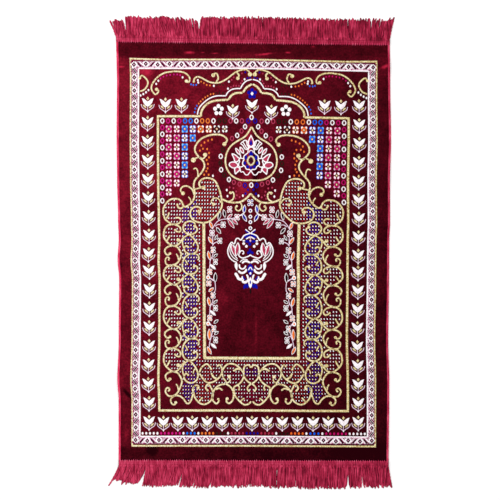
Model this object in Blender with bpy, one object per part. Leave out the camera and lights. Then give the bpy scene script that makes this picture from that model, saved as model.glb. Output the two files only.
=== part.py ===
"""Velvet prayer rug, lying on a floor: one woven pile cloth, an overlocked binding down each long side,
and a fringe sewn across each end.

Metres, +Z up. The origin is the middle of the cloth's underside, on the floor. +X runs across the rug
and +Y points to the end with the niche. The cloth lies almost flat: its outline wanders by a few
millimetres, its ends slope a little, and its border lifts in a few low waves.
"""

import bisect
import math
import random

import bmesh
import bpy
from mathutils import Matrix, Vector

# Cloth
CLOTH_WIDTH = 0.700
CLOTH_LENGTH = 1.112
PILE_TOP = 0.0040  # floor to the tips of the pile
PRESSED_TOP = 0.0026  # top of the margins that the heading and the binding press down
SIDE_MARGIN = 0.0052  # pressed margin along each long side
END_MARGIN = 0.0152  # pressed margin across each end
SIDE_UNDERCUT = 0.0009  # how far the side margins are drawn up, to make room for the binding's lower leg
STEP_RUN = 0.0003  # how far the pile takes to drop into a margin
GRID_COLUMNS = 16
GRID_ROWS = 60

# Clearance that sewn pieces keep from the cloth, and how close two places are to count as one
CLEARANCE = 0.0003
SAME_PLACE = 0.0001

# Binding: overlocked yarn with a C section that wraps the long edge
BINDING_WALL = 0.0012
BINDING_LOWER_LEG = 0.0006
BINDING_TOP = 0.0041

# Fringe: a woven heading with an L section, lapped over the cloth's end, and the strands at its foot
HEADING_LAP = END_MARGIN - STEP_RUN
HEADING_TOP = 0.0043
HEADING_WALL = 0.0015
HEADING_BLOCKS = 22
STRANDS_PER_BLOCK = 5
STRAND_ROOT_HEIGHT = 0.0020
STRAND_WIDTH = 0.0050
STRAND_HEIGHT = 0.0026
STRAND_TIP_WIDTH = 0.0042
STRAND_TIP_HEIGHT = 0.0016
STRAND_STATIONS = (0.06, 0.50, 1.0)  # shares of a strand's length
STRAND_BEND = 0.25  # share of its lean that a strand still lacks at its root
STRAND_SPACING = STRAND_WIDTH + 2 * CLEARANCE  # least distance between neighbours
LENGTH_SCATTER = 0.0030
LEAN_SCATTER = math.radians(2.0)
SCATTER_SEED = 7

# Outline: how far each long edge strays outwards, down the length of the rug
OUTLINE = (
    # (y, left, right)
    (0.556, 0.0052, 0.0019),
    (0.446, 0.0027, 0.0030),
    (0.290, 0.0035, 0.0050),
    (0.187, 0.0024, 0.0023),
    (0.083, -0.0001, 0.0026),
    (0.031, -0.0017, 0.0004),
    (-0.021, 0.0008, 0.0000),
    (-0.073, -0.0028, -0.0003),
    (-0.228, -0.0017, -0.0022),
    (-0.332, 0.0016, 0.0004),
    (-0.384, -0.0016, 0.0002),
    (-0.556, -0.0014, -0.0012),
)
TOP_END_SLOPE = -0.0120  # rise of the niche end for each metre across
BOTTOM_END_SLOPE = -0.0030

# Low waves and fold marks where the cloth lifts off the floor
WAVES = (
    # (x, y, reach across, reach along, height)
    (-0.350, 0.480, 0.090, 0.036, 0.0022),
    (0.350, 0.486, 0.080, 0.036, 0.0024),
    (0.000, 0.485, 0.330, 0.036, 0.0012),
    (0.000, 0.225, 0.060, 0.170, 0.0016),
    (-0.352, -0.024, 0.085, 0.040, 0.0024),
    (-0.352, -0.345, 0.100, 0.070, 0.0032),
    (-0.258, -0.490, 0.080, 0.048, 0.0028),
    (0.352, 0.205, 0.080, 0.075, 0.0018),
)

# Locks of strands, from left to right as the rug is seen from above. Lean is from straight out, to +X.
TOP_LOCKS = (
    # (from x, to x, lean at from, lean at to, length)
    (-0.360, -0.322, -27, -20, 0.051),
    (-0.322, -0.290, -10, -7, 0.056),
    (-0.290, -0.250, -20, -16, 0.053),
    (-0.250, -0.200, -14, -10, 0.054),
    (-0.200, -0.120, -9, -5, 0.053),
    (-0.120, -0.020, -5, -2, 0.054),
    (-0.020, 0.090, -2, 1, 0.055),
    (0.090, 0.200, 1, 3, 0.055),
    (0.200, 0.290, 2, 4, 0.054),
    (0.290, 0.335, 3, 6, 0.055),
    (0.335, 0.360, 6, 9, 0.058),
)
BOTTOM_LOCKS = (
    (-0.360, -0.340, -37, -33, 0.053),
    (-0.340, -0.279, -31, -27, 0.048),
    (-0.279, -0.215, -7, -12, 0.054),
    (-0.215, -0.110, -16, -10, 0.056),
    (-0.110, 0.000, -9, -3, 0.054),
    (0.000, 0.140, -2, 1, 0.056),
    (0.140, 0.246, 0, -3, 0.057),
    (0.246, 0.280, 3, 0, 0.055),
    (0.280, 0.330, 6, 10, 0.054),
    (0.330, 0.360, 12, 17, 0.053),
)

# Colours (linear) and finish
WINE = (0.090, 0.002, 0.010, 1.0)
CRIMSON = (0.400, 0.020, 0.068, 1.0)
BLUSH = (0.480, 0.030, 0.090, 1.0)
VELVET_ROUGHNESS = 0.90
YARN_ROUGHNESS = 0.65

HALF_WIDTH = CLOTH_WIDTH / 2
HALF_LENGTH = CLOTH_LENGTH / 2


def ease(share):
    """0 to 1 with level ends."""
    share = min(1.0, max(0.0, share))
    return share * share * (3 - 2 * share)


def outline_stray(y, side):
    """How far the long edge on that side (-1 left, 1 right) strays outwards at y."""
    column = 1 if side < 0 else 2
    heights = [-row[0] for row in OUTLINE]
    below = bisect.bisect_left(heights, -y)
    if below == 0:
        return OUTLINE[0][column]
    if below == len(OUTLINE):
        return OUTLINE[-1][column]
    upper, lower = OUTLINE[below - 1], OUTLINE[below]
    share = ease((upper[0] - y) / (upper[0] - lower[0]))
    return upper[column] + (lower[column] - upper[column]) * share


def lift(x, y):
    """How far the cloth lies above the floor."""
    height = 0.0
    for wave_x, wave_y, across, along, top in WAVES:
        distance = math.hypot((x - wave_x) / across, (y - wave_y) / along)
        height = max(height, top * ease(1 - distance))
    return height


def laid(point):
    """Where a point of the true rectangle lies once the rug is on the floor."""
    x, y, z = point
    side = -1 if x < 0 else 1
    stray = outline_stray(y, side) * abs(x) / HALF_WIDTH
    share = ease((y + HALF_LENGTH) / CLOTH_LENGTH)
    slope = BOTTOM_END_SLOPE + (TOP_END_SLOPE - BOTTOM_END_SLOPE) * share
    return Vector((x + side * stray, y + slope * x, z + lift(x, y)))


def lay_down(bm):
    """Moves every vertex to where it lies on the floor."""
    for vertex in bm.verts:
        vertex.co = laid(vertex.co)


def material(name, colour, roughness):
    """A plain finish for one kind of yarn."""
    made = bpy.data.materials.new(name)
    made.use_nodes = True
    shader = made.node_tree.nodes["Principled BSDF"]
    shader.inputs["Base Color"].default_value = colour
    shader.inputs["Roughness"].default_value = roughness
    shader.inputs["Metallic"].default_value = 0.0
    return made


def finish_part(bm, name, finish, collection):
    """Turns a bmesh into a named object of the rug."""
    bmesh.ops.recalc_face_normals(bm, faces=bm.faces)
    mesh = bpy.data.meshes.new(name)
    bm.to_mesh(mesh)
    bm.free()
    mesh.materials.append(finish)
    part = bpy.data.objects.new(name, mesh)
    collection.objects.link(part)
    return part


def inner_lines(half_length, margin, count):
    """Even places along one axis, from one margin of the cloth to the other."""
    inner = half_length - margin - STEP_RUN
    return [inner * (2 * i / count - 1) for i in range(count + 1)]


def cut_lines(half_length, margin, count):
    """Places of the cuts along one axis: the even ones, and one where each margin has stepped down."""
    return inner_lines(half_length, margin, count) + [half_length - margin, margin - half_length]


def make_cloth(finish, collection):
    """The pile cloth: a slab, stepped down round its rim, cut into a net that follows the floor."""
    bm = bmesh.new()
    bmesh.ops.create_cube(bm, size=1.0)
    size = Matrix.Diagonal((CLOTH_WIDTH, CLOTH_LENGTH, PILE_TOP, 1.0))
    bmesh.ops.transform(bm, matrix=Matrix.Translation((0, 0, PILE_TOP / 2)) @ size, verts=bm.verts)
    cuts = (
        (Vector((1, 0, 0)), cut_lines(HALF_WIDTH, SIDE_MARGIN, GRID_COLUMNS)),
        (Vector((0, 1, 0)), cut_lines(HALF_LENGTH, END_MARGIN, GRID_ROWS)),
    )
    for normal, places in cuts:
        for place in places:
            everything = bm.verts[:] + bm.edges[:] + bm.faces[:]
            bmesh.ops.bisect_plane(bm, geom=everything, plane_co=normal * place, plane_no=normal)
    for vertex in bm.verts:
        in_side = abs(vertex.co.x) > HALF_WIDTH - SIDE_MARGIN - SAME_PLACE
        in_end = abs(vertex.co.y) > HALF_LENGTH - END_MARGIN - SAME_PLACE
        if vertex.co.z > PILE_TOP / 2:
            vertex.co.z = PRESSED_TOP if in_side or in_end else PILE_TOP
        elif in_side:
            vertex.co.z = SIDE_UNDERCUT
    lay_down(bm)
    return finish_part(bm, "velvet_cloth", finish, collection)


def swept(bm, section, stations):
    """A closed solid: the flat outline `section(station)` carried along the stations."""
    ring = [bm.verts.new(point) for point in section(stations[0])]
    face = bm.faces.new(ring)
    for station in stations[1:]:
        points = section(station)
        made = bmesh.ops.extrude_face_region(bm, geom=[face])["geom"]
        bmesh.ops.delete(bm, geom=[face], context="FACES_ONLY")
        face = next(item for item in made if isinstance(item, bmesh.types.BMFace))
        for vertex, point in zip(face.verts, points, strict=True):
            vertex.co = point
    bm.faces.new(ring)


def make_binding(side, finish, collection):
    """The overlocked yarn on one long side: a C section round the pressed margin."""
    reach = HALF_LENGTH - END_MARGIN - CLEARANCE
    outer = HALF_WIDTH + CLEARANCE + BINDING_WALL
    inner = HALF_WIDTH + CLEARANCE
    tip = HALF_WIDTH - SIDE_MARGIN + CLEARANCE
    upper_leg = PRESSED_TOP + CLEARANCE
    outline = (
        # (x from the middle of the rug, z)
        (tip, 0.0),
        (outer, 0.0),
        (outer, BINDING_TOP - BINDING_WALL / 2),
        (outer - BINDING_WALL / 2, BINDING_TOP),
        (tip, BINDING_TOP),
        (tip, upper_leg),
        (inner, upper_leg),
        (inner, BINDING_LOWER_LEG),
        (tip, BINDING_LOWER_LEG),
    )
    stations = [-reach, *inner_lines(HALF_LENGTH, END_MARGIN, GRID_ROWS)[1:-1], reach]
    bm = bmesh.new()
    swept(bm, lambda y: [Vector((side * x, y, z)) for x, z in outline], stations)
    lay_down(bm)
    name = "binding_left" if side < 0 else "binding_right"
    return finish_part(bm, name, finish, collection)


def lock_at(locks, x):
    """(lean, length) of the strand rooted at x."""
    for start, end, lean_start, lean_end, length in locks:
        if x <= end:
            share = (x - start) / (end - start)
            return math.radians(lean_start + (lean_end - lean_start) * share), length
    raise ValueError(f"no lock covers {x}")


def strand_aims(roots, locks, seed):
    """(lean, length) for each root, from left to right, with no strand crossing the one before it."""
    scatter = random.Random(seed)
    aims, last_tip = [], -math.inf
    for x in roots:
        lean, length = lock_at(locks, x)
        lean += scatter.uniform(-LEAN_SCATTER, LEAN_SCATTER)
        length += scatter.uniform(-LENGTH_SCATTER, LENGTH_SCATTER)
        tip = max(x + length * math.sin(lean), last_tip + STRAND_SPACING)
        last_tip = tip
        aims.append((math.asin((tip - x) / length), length))
    return aims


def grow_strand(bm, root, lean, length, end):
    """Draws one strand out of its root face, level on the floor."""
    start = root.calc_center_median()
    corners = [(1 if v.co.x > start.x else -1, 1 if v.co.z > start.z else 0) for v in root.verts]
    start.z = 0.0
    face = root
    for share in STRAND_STATIONS:
        face = bmesh.ops.extrude_discrete_faces(bm, faces=[face])["faces"][0]
        bend = lean * (1 - STRAND_BEND * (1 - share))
        middle = start + Vector((math.sin(bend), end * math.cos(bend), 0)) * length * share
        across = Vector((math.cos(lean * share), -end * math.sin(lean * share), 0))
        width = STRAND_WIDTH + (STRAND_TIP_WIDTH - STRAND_WIDTH) * share
        height = STRAND_HEIGHT + (STRAND_TIP_HEIGHT - STRAND_HEIGHT) * share
        for vertex, (side, up) in zip(face.verts, corners, strict=True):
            vertex.co = middle + across * (side * width / 2) + Vector((0, 0, up * height))


def at_foot(item, y):
    """Whether an edge or a face lies on the heading's foot at y, where the strands grow."""
    top = STRAND_ROOT_HEIGHT + SAME_PLACE
    return all(abs(vertex.co.y - y) < SAME_PLACE and vertex.co.z < top for vertex in item.verts)


def runs_across(edge):
    """Whether an edge runs along the rug's end."""
    return abs(edge.verts[0].co.x - edge.verts[1].co.x) > SAME_PLACE


def make_fringe(end, locks, finish, collection):
    """One fringe: the heading lapped over the cloth's end (1 niche end, -1 other end), and its strands."""
    half = HALF_WIDTH + CLEARANCE + BINDING_WALL
    riser = HALF_LENGTH + CLEARANCE
    front = riser + HEADING_WALL
    lap = HALF_LENGTH - HEADING_LAP
    under = PRESSED_TOP + CLEARANCE
    outline = (
        # (y from the middle of the rug, z)
        (lap, under),
        (riser, under),
        (riser, 0.0),
        (front, 0.0),
        (front, STRAND_ROOT_HEIGHT),
        (front, HEADING_TOP - HEADING_WALL / 2),
        (front - HEADING_WALL / 2, HEADING_TOP),
        (lap, HEADING_TOP),
    )
    stations = [half * (2 * i / HEADING_BLOCKS - 1) for i in range(HEADING_BLOCKS + 1)]
    bm = bmesh.new()
    swept(bm, lambda x: [Vector((x, end * y, z)) for y, z in outline], stations)

    foot = end * front
    rails = [edge for edge in bm.edges if at_foot(edge, foot) and runs_across(edge)]
    bmesh.ops.subdivide_edges(bm, edges=rails, cuts=2 * STRANDS_PER_BLOCK - 1)
    slots = [face for face in bm.faces if at_foot(face, foot)]
    slots.sort(key=lambda face: face.calc_center_median().x)
    roots = slots[::2]
    places = [face.calc_center_median().x for face in roots]
    aims = strand_aims(places, locks, seed=SCATTER_SEED + end)
    for root, (lean, length) in zip(roots, aims, strict=True):
        grow_strand(bm, root, lean, length, end)
    lay_down(bm)
    name = "fringe_top" if end > 0 else "fringe_bottom"
    return finish_part(bm, name, finish, collection)


def main():
    """Clears the scene and builds the rug."""
    for old in list(bpy.data.objects):
        bpy.data.objects.remove(old)
    rug = bpy.data.collections.new("prayer_rug")
    bpy.context.scene.collection.children.link(rug)
    velvet = material("velvet_pile", WINE, VELVET_ROUGHNESS)
    overlock = material("overlock_yarn", BLUSH, YARN_ROUGHNESS)
    fringe = material("fringe_yarn", CRIMSON, YARN_ROUGHNESS)
    make_cloth(velvet, rug)
    make_binding(-1, overlock, rug)
    make_binding(1, overlock, rug)
    make_fringe(1, TOP_LOCKS, fringe, rug)
    make_fringe(-1, BOTTOM_LOCKS, fringe, rug)


main()
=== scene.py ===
"""Looks of a velvet prayer rug that lies flat on a pale floor.

Metres, +Z up, +X across the rug and +Y to the end with the niche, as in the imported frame. The woven
figures are drawn on squared paper, as a weaver draws them: u counts squares from the rug's middle line
out to its left edge, v counts them from the middle of the rug up to the niche end, and one square is
SQUARE metres wide. A figure that the rug has on both sides is drawn once, on the left, and woven again
on the right.
"""

import logging
import math
import random
from collections.abc import Iterable, Sequence
from dataclasses import dataclass, replace
from enum import Enum

import bmesh
import bpy
from mathutils import Euler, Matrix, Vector
from mathutils.kdtree import KDTree


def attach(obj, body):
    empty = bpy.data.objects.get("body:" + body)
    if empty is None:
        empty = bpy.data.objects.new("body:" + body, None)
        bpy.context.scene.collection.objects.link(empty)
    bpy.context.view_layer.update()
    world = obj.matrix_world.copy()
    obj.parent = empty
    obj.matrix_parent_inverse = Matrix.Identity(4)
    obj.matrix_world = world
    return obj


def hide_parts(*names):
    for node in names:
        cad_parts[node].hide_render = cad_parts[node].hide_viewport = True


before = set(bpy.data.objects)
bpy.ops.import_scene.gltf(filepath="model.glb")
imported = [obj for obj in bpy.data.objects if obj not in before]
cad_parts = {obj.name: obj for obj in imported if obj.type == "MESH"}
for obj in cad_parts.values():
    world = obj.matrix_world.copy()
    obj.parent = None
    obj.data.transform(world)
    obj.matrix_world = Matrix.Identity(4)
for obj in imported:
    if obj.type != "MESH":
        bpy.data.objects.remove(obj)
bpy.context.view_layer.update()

SQUARE = 0.002593
BODY = "root"
MERGE = 0.000001
SAME_PLACE = 0.0001
LAP = 0.06  # layers that one half of a line lies over the other where they meet
SEED = 11

Point = tuple[float, float]
Points = Sequence[Point]
LEFT, RIGHT = -1, 1
BOTH = (LEFT, RIGHT)

log = logging.getLogger("prayer_rug")


def ease(share: float) -> float:
    """0 to 1 with level ends."""
    share = min(1.0, max(0.0, share))
    return share * share * (3 - 2 * share)


def between(stops: Sequence[Point], at: float) -> float:
    """The value at a place, on straight lines between rising (place, value) stops."""
    for (low, first), (high, last) in zip(stops, stops[1:]):
        if at <= high:
            return mix(first, last, max(0.0, (at - low) / (high - low)))
    return stops[-1][1]


def mix(low: float, high: float, share: float) -> float:
    """The value a share of the way from low to high."""
    return low + (high - low) * share


def net(bm: bmesh.types.BMesh, columns: int, rows: int) -> list[tuple[bmesh.types.BMVert, int, int]]:
    """The vertices of a new grid, each with the number of its column and of its row."""
    made = bmesh.ops.create_grid(bm, x_segments=columns, y_segments=rows, size=1.0)["verts"]
    return [(v, round((v.co.x + 1) / 2 * columns), round((v.co.y + 1) / 2 * rows)) for v in made]


class Yarn(Enum):
    """The pattern yarns, each with its colour in sRGB steps of 255 and the record's slot."""

    GOLD = ("gold", (228, 212, 160), "gold_yarn")
    WHITE = ("white", (255, 246, 250), "white_yarn")
    LILAC = ("lilac", (234, 186, 208), "white_yarn")
    MAGENTA = ("magenta", (200, 24, 122), "dyed_yarn")
    SKY = ("sky", (128, 186, 246), "dyed_yarn")
    BLUE = ("blue", (0, 114, 234), "dyed_yarn")
    ORANGE = ("orange", (232, 122, 54), "dyed_yarn")
    GREEN = ("green", (42, 28, 18), "dyed_yarn")
    ROSE = ("rose", (174, 54, 84), "dyed_yarn")
    NAVY = ("navy", (8, 10, 150), "dyed_yarn")
    COBALT = ("cobalt", (20, 36, 176), "dyed_yarn")
    RUST = ("rust", (172, 40, 38), "dyed_yarn")
    CRIMSON = ("crimson", (128, 6, 44), "dyed_yarn")
    MAROON = ("maroon", (72, 4, 34), "dyed_yarn")
    PLUM = ("plum", (146, 44, 96), "dyed_yarn")
    RED = ("red", (156, 18, 38), "dyed_yarn")
    PALE = ("pale", (236, 212, 230), "white_yarn")
    BLACK = ("black", (26, 10, 14), "dyed_yarn")

    @property
    def word(self) -> str:
        """The yarn's name in a piece's name."""
        return self.value[0]

    @property
    def colour(self) -> tuple[int, int, int]:
        """The yarn's colour in sRGB steps of 255."""
        return self.value[1]

    @property
    def slot(self) -> str:
        """The record's material slot."""
        return self.value[2]


LETTERS = {
    "W": Yarn.WHITE, "M": Yarn.MAGENTA, "B": Yarn.BLUE, "O": Yarn.ORANGE,
    "G": Yarn.GREEN, "R": Yarn.ROSE, "N": Yarn.NAVY,
}


@dataclass(frozen=True)
class Rug:
    """The cloth as it lies: the same sizes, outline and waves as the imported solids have."""

    width: float = 0.700
    length: float = 1.112
    pile_top: float = 0.0040
    pressed_top: float = 0.0026
    side_margin: float = 0.0052
    end_margin: float = 0.0152
    side_undercut: float = 0.0009
    step_run: float = 0.0003
    clearance: float = 0.0003
    top_slope: float = -0.0120
    bottom_slope: float = -0.0030
    outline: tuple[tuple[float, float, float], ...] = (
        # (y, left, right)
        (0.556, 0.0052, 0.0019),
        (0.446, 0.0027, 0.0030),
        (0.290, 0.0035, 0.0050),
        (0.187, 0.0024, 0.0023),
        (0.083, -0.0001, 0.0026),
        (0.031, -0.0017, 0.0004),
        (-0.021, 0.0008, 0.0000),
        (-0.073, -0.0028, -0.0003),
        (-0.228, -0.0017, -0.0022),
        (-0.332, 0.0016, 0.0004),
        (-0.384, -0.0016, 0.0002),
        (-0.556, -0.0014, -0.0012),
    )
    waves: tuple[tuple[float, float, float, float, float], ...] = (
        # (x, y, reach across, reach along, height)
        (-0.350, 0.480, 0.090, 0.036, 0.0022),
        (0.350, 0.486, 0.080, 0.036, 0.0024),
        (0.000, 0.485, 0.330, 0.036, 0.0012),
        (0.000, 0.225, 0.060, 0.170, 0.0016),
        (-0.352, -0.024, 0.085, 0.040, 0.0024),
        (-0.352, -0.345, 0.100, 0.070, 0.0032),
        (-0.258, -0.490, 0.080, 0.048, 0.0028),
        (0.352, 0.205, 0.080, 0.075, 0.0018),
    )
    drift_places: tuple[float, ...] = (11, 33, 55, 75, 95, 116)
    drifts: tuple[tuple[float, ...], ...] = (
        # (v, drift at each of the places)
        (-186, -1.45, -1.45, -1.30, -0.60, -0.10, 0.00),
        (-164, -1.45, -1.45, -1.20, -0.70, -0.20, -0.10),
        (-142, -1.80, -1.50, -1.60, -0.90, -0.25, -0.15),
        (-98, -2.80, -2.10, -1.95, -1.15, -0.40, -0.15),
        (-54, -3.10, -3.20, -2.25, -1.50, -0.40, -0.10),
        (12, -3.30, -3.05, -2.20, -1.40, -0.35, 0.05),
        (56, -2.90, -2.60, -1.95, -1.35, -0.45, -0.10),
        (78, -2.70, -2.50, -1.75, -1.30, -0.45, -0.15),
        (100, -2.50, -2.30, -1.70, -1.15, -0.50, -0.25),
        (144, -1.55, -1.50, -0.75, -0.60, -0.40, -0.15),
        (188, -1.10, -0.85, -0.55, -0.40, -0.40, 0.10),
    )

    @property
    def half_width(self) -> float:
        """Half the cloth's width."""
        return self.width / 2

    @property
    def half_length(self) -> float:
        """Half the cloth's length."""
        return self.length / 2

    def stray(self, y: float, side: int) -> float:
        """How far a long edge strays outwards.

        Args:
            y: place along the rug, in metres.
            side: LEFT or RIGHT.

        Returns:
            The stray, in metres.
        """
        column = 1 if side < 0 else 2
        for upper, lower in zip(self.outline, self.outline[1:]):
            if y >= lower[0]:
                share = ease((upper[0] - y) / (upper[0] - lower[0]))
                return mix(upper[column], lower[column], share)
        return self.outline[-1][column]

    def lift(self, x: float, y: float) -> float:
        """How far the cloth lies above the floor at a place of the true rectangle."""
        height = 0.0
        for wave_x, wave_y, across, along, top in self.waves:
            distance = math.hypot((x - wave_x) / across, (y - wave_y) / along)
            height = max(height, top * ease(1 - distance))
        return height

    def slope(self, y: float) -> float:
        """Rise of the weft for each metre across, at y."""
        return mix(self.bottom_slope, self.top_slope, ease((y + self.half_length) / self.length))

    def laid(self, x: float, y: float, z: float) -> Vector:
        """Where a point of the true rectangle lies on the floor."""
        side = LEFT if x < 0 else RIGHT
        stray = self.stray(y, side) * abs(x) / self.half_width
        return Vector((x + side * stray, y + self.slope(y) * x, z + self.lift(x, y)))

    def drift(self, u: float, v: float) -> float:
        """How far the pattern's middle line strays to the right of the rug's, in squares."""
        index = 0
        while index < len(self.drifts) - 2 and v > self.drifts[index + 1][0]:
            index += 1
        ends = [(row[0], between(list(zip(self.drift_places, row[1:])),
                                 u)) for row in self.drifts[index:index + 2]]
        return between(ends, v)

    def spot(self, point: Point, side: int, straight: bool = False) -> Point:
        """Where a square of the draft lies.

        Args:
            point: (u, v) in squares.
            side: LEFT as drawn, or RIGHT for its mirror.
            straight: whether the figure runs along the edge and strays with it.

        Returns:
            (x, y) in metres.
        """
        u, v = point
        x, y = -u * SQUARE, v * SQUARE
        if straight:
            x *= 1 + self.stray(y, LEFT) / self.half_width
        if side == RIGHT:
            mirrored = -x + 2 * self.drift(u, v) * SQUARE
            mirrored += (self.stray(y, RIGHT) - self.stray(y, LEFT)) * mirrored / self.half_width
            y += self.slope(y) * (mirrored - x)
            x = mirrored
        return x, y

    def on_pile(self, x: float, y: float, height: float) -> Vector:
        """A point a given height above the pile's tips, at a place on the floor."""
        true_y = y - self.slope(y) * x
        true_x = x / (1 + self.stray(true_y, LEFT if x < 0 else RIGHT) / self.half_width)
        return Vector((x, y, self.pile_top + self.lift(true_x, true_y) + height))


class Path:
    """A smooth curve through a few points, measured along its length."""

    steps_per_span: int = 8

    def __init__(self, points: Points, closed: bool = False) -> None:
        """Draws the curve.

        Args:
            points: the points that it goes through.
            closed: whether it returns to its first point.
        """
        corners = [Vector(point) for point in points]
        last = len(corners)
        self.track: list[Vector] = []
        spans = last if closed else last - 1
        for span in range(spans):
            picks = [corners[(span + k) % last] if closed else corners[min(max(span + k, 0),
                                                                           last - 1)] for k in (-1, 0, 1, 2)]
            for step in range(self.steps_per_span):
                self.track.append(self.between(picks, step / self.steps_per_span))
        self.track.append(corners[0] if closed else corners[-1])
        self.marks = [0.0]
        for before, after in zip(self.track, self.track[1:]):
            self.marks.append(self.marks[-1] + (after - before).length)

    @staticmethod
    def between(picks: Sequence[Vector], t: float) -> Vector:
        """The point a share t of the way from the second of four points to the third."""
        a, b, c, d = picks
        square, cube = 2 * a - 5 * b + 4 * c - d, 3 * b - a - 3 * c + d
        return ((2 * b) + (c - a) * t + square * t**2 + cube * t**3) / 2

    @property
    def length(self) -> float:
        """The curve's length."""
        return self.marks[-1]

    def at(self, distance: float) -> Vector:
        """The point that far along the curve."""
        for number, mark in enumerate(self.marks[1:]):
            if distance <= mark:
                before = self.marks[number]
                share = (distance - before) / max(mark - before, 1e-9)
                return self.track[number].lerp(self.track[number + 1], share)
        return self.track[-1].copy()


class Shape(Enum):
    """How wide a stroke is along its length, as a share of its full width."""

    LINE = "line"
    LEAF = "leaf"
    DROP = "drop"

    def share(self, t: float) -> float:
        """The width's share, a share t along the stroke."""
        if self is Shape.LEAF:
            return math.sin(math.pi * t) ** 0.8
        if self is Shape.DROP:
            return math.sin(math.pi * t**0.6) ** 0.9
        return 1.0


@dataclass(frozen=True)
class Lay:
    """How a figure lies: on which halves, whether it strays with the rug's edge, and over how many layers."""

    sides: Sequence[int] = BOTH
    straight: bool = False
    level: float = 0

    def over(self, level: float) -> "Lay":
        """The same over a number of layers."""
        return replace(self, level=level)


PAIR = Lay()
ONCE = Lay((LEFT,))
EDGE = Lay(straight=True)
EDGE_ONCE = Lay((LEFT,), True)


@dataclass(frozen=True)
class Stroke:
    """A drawn line of one yarn, with a knob at an end that has a radius for one."""

    points: Points
    width: float = 1.8
    yarn: Yarn = Yarn.GOLD
    first_knob: float = 0.0
    last_knob: float = 0.0
    closed: bool = False
    shape: Shape = Shape.LINE


@dataclass(frozen=True)
class Beads:
    """Round stitches of one yarn."""

    yarn: Yarn
    points: Points
    size: Point = (1.7, 2.1)


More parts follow.
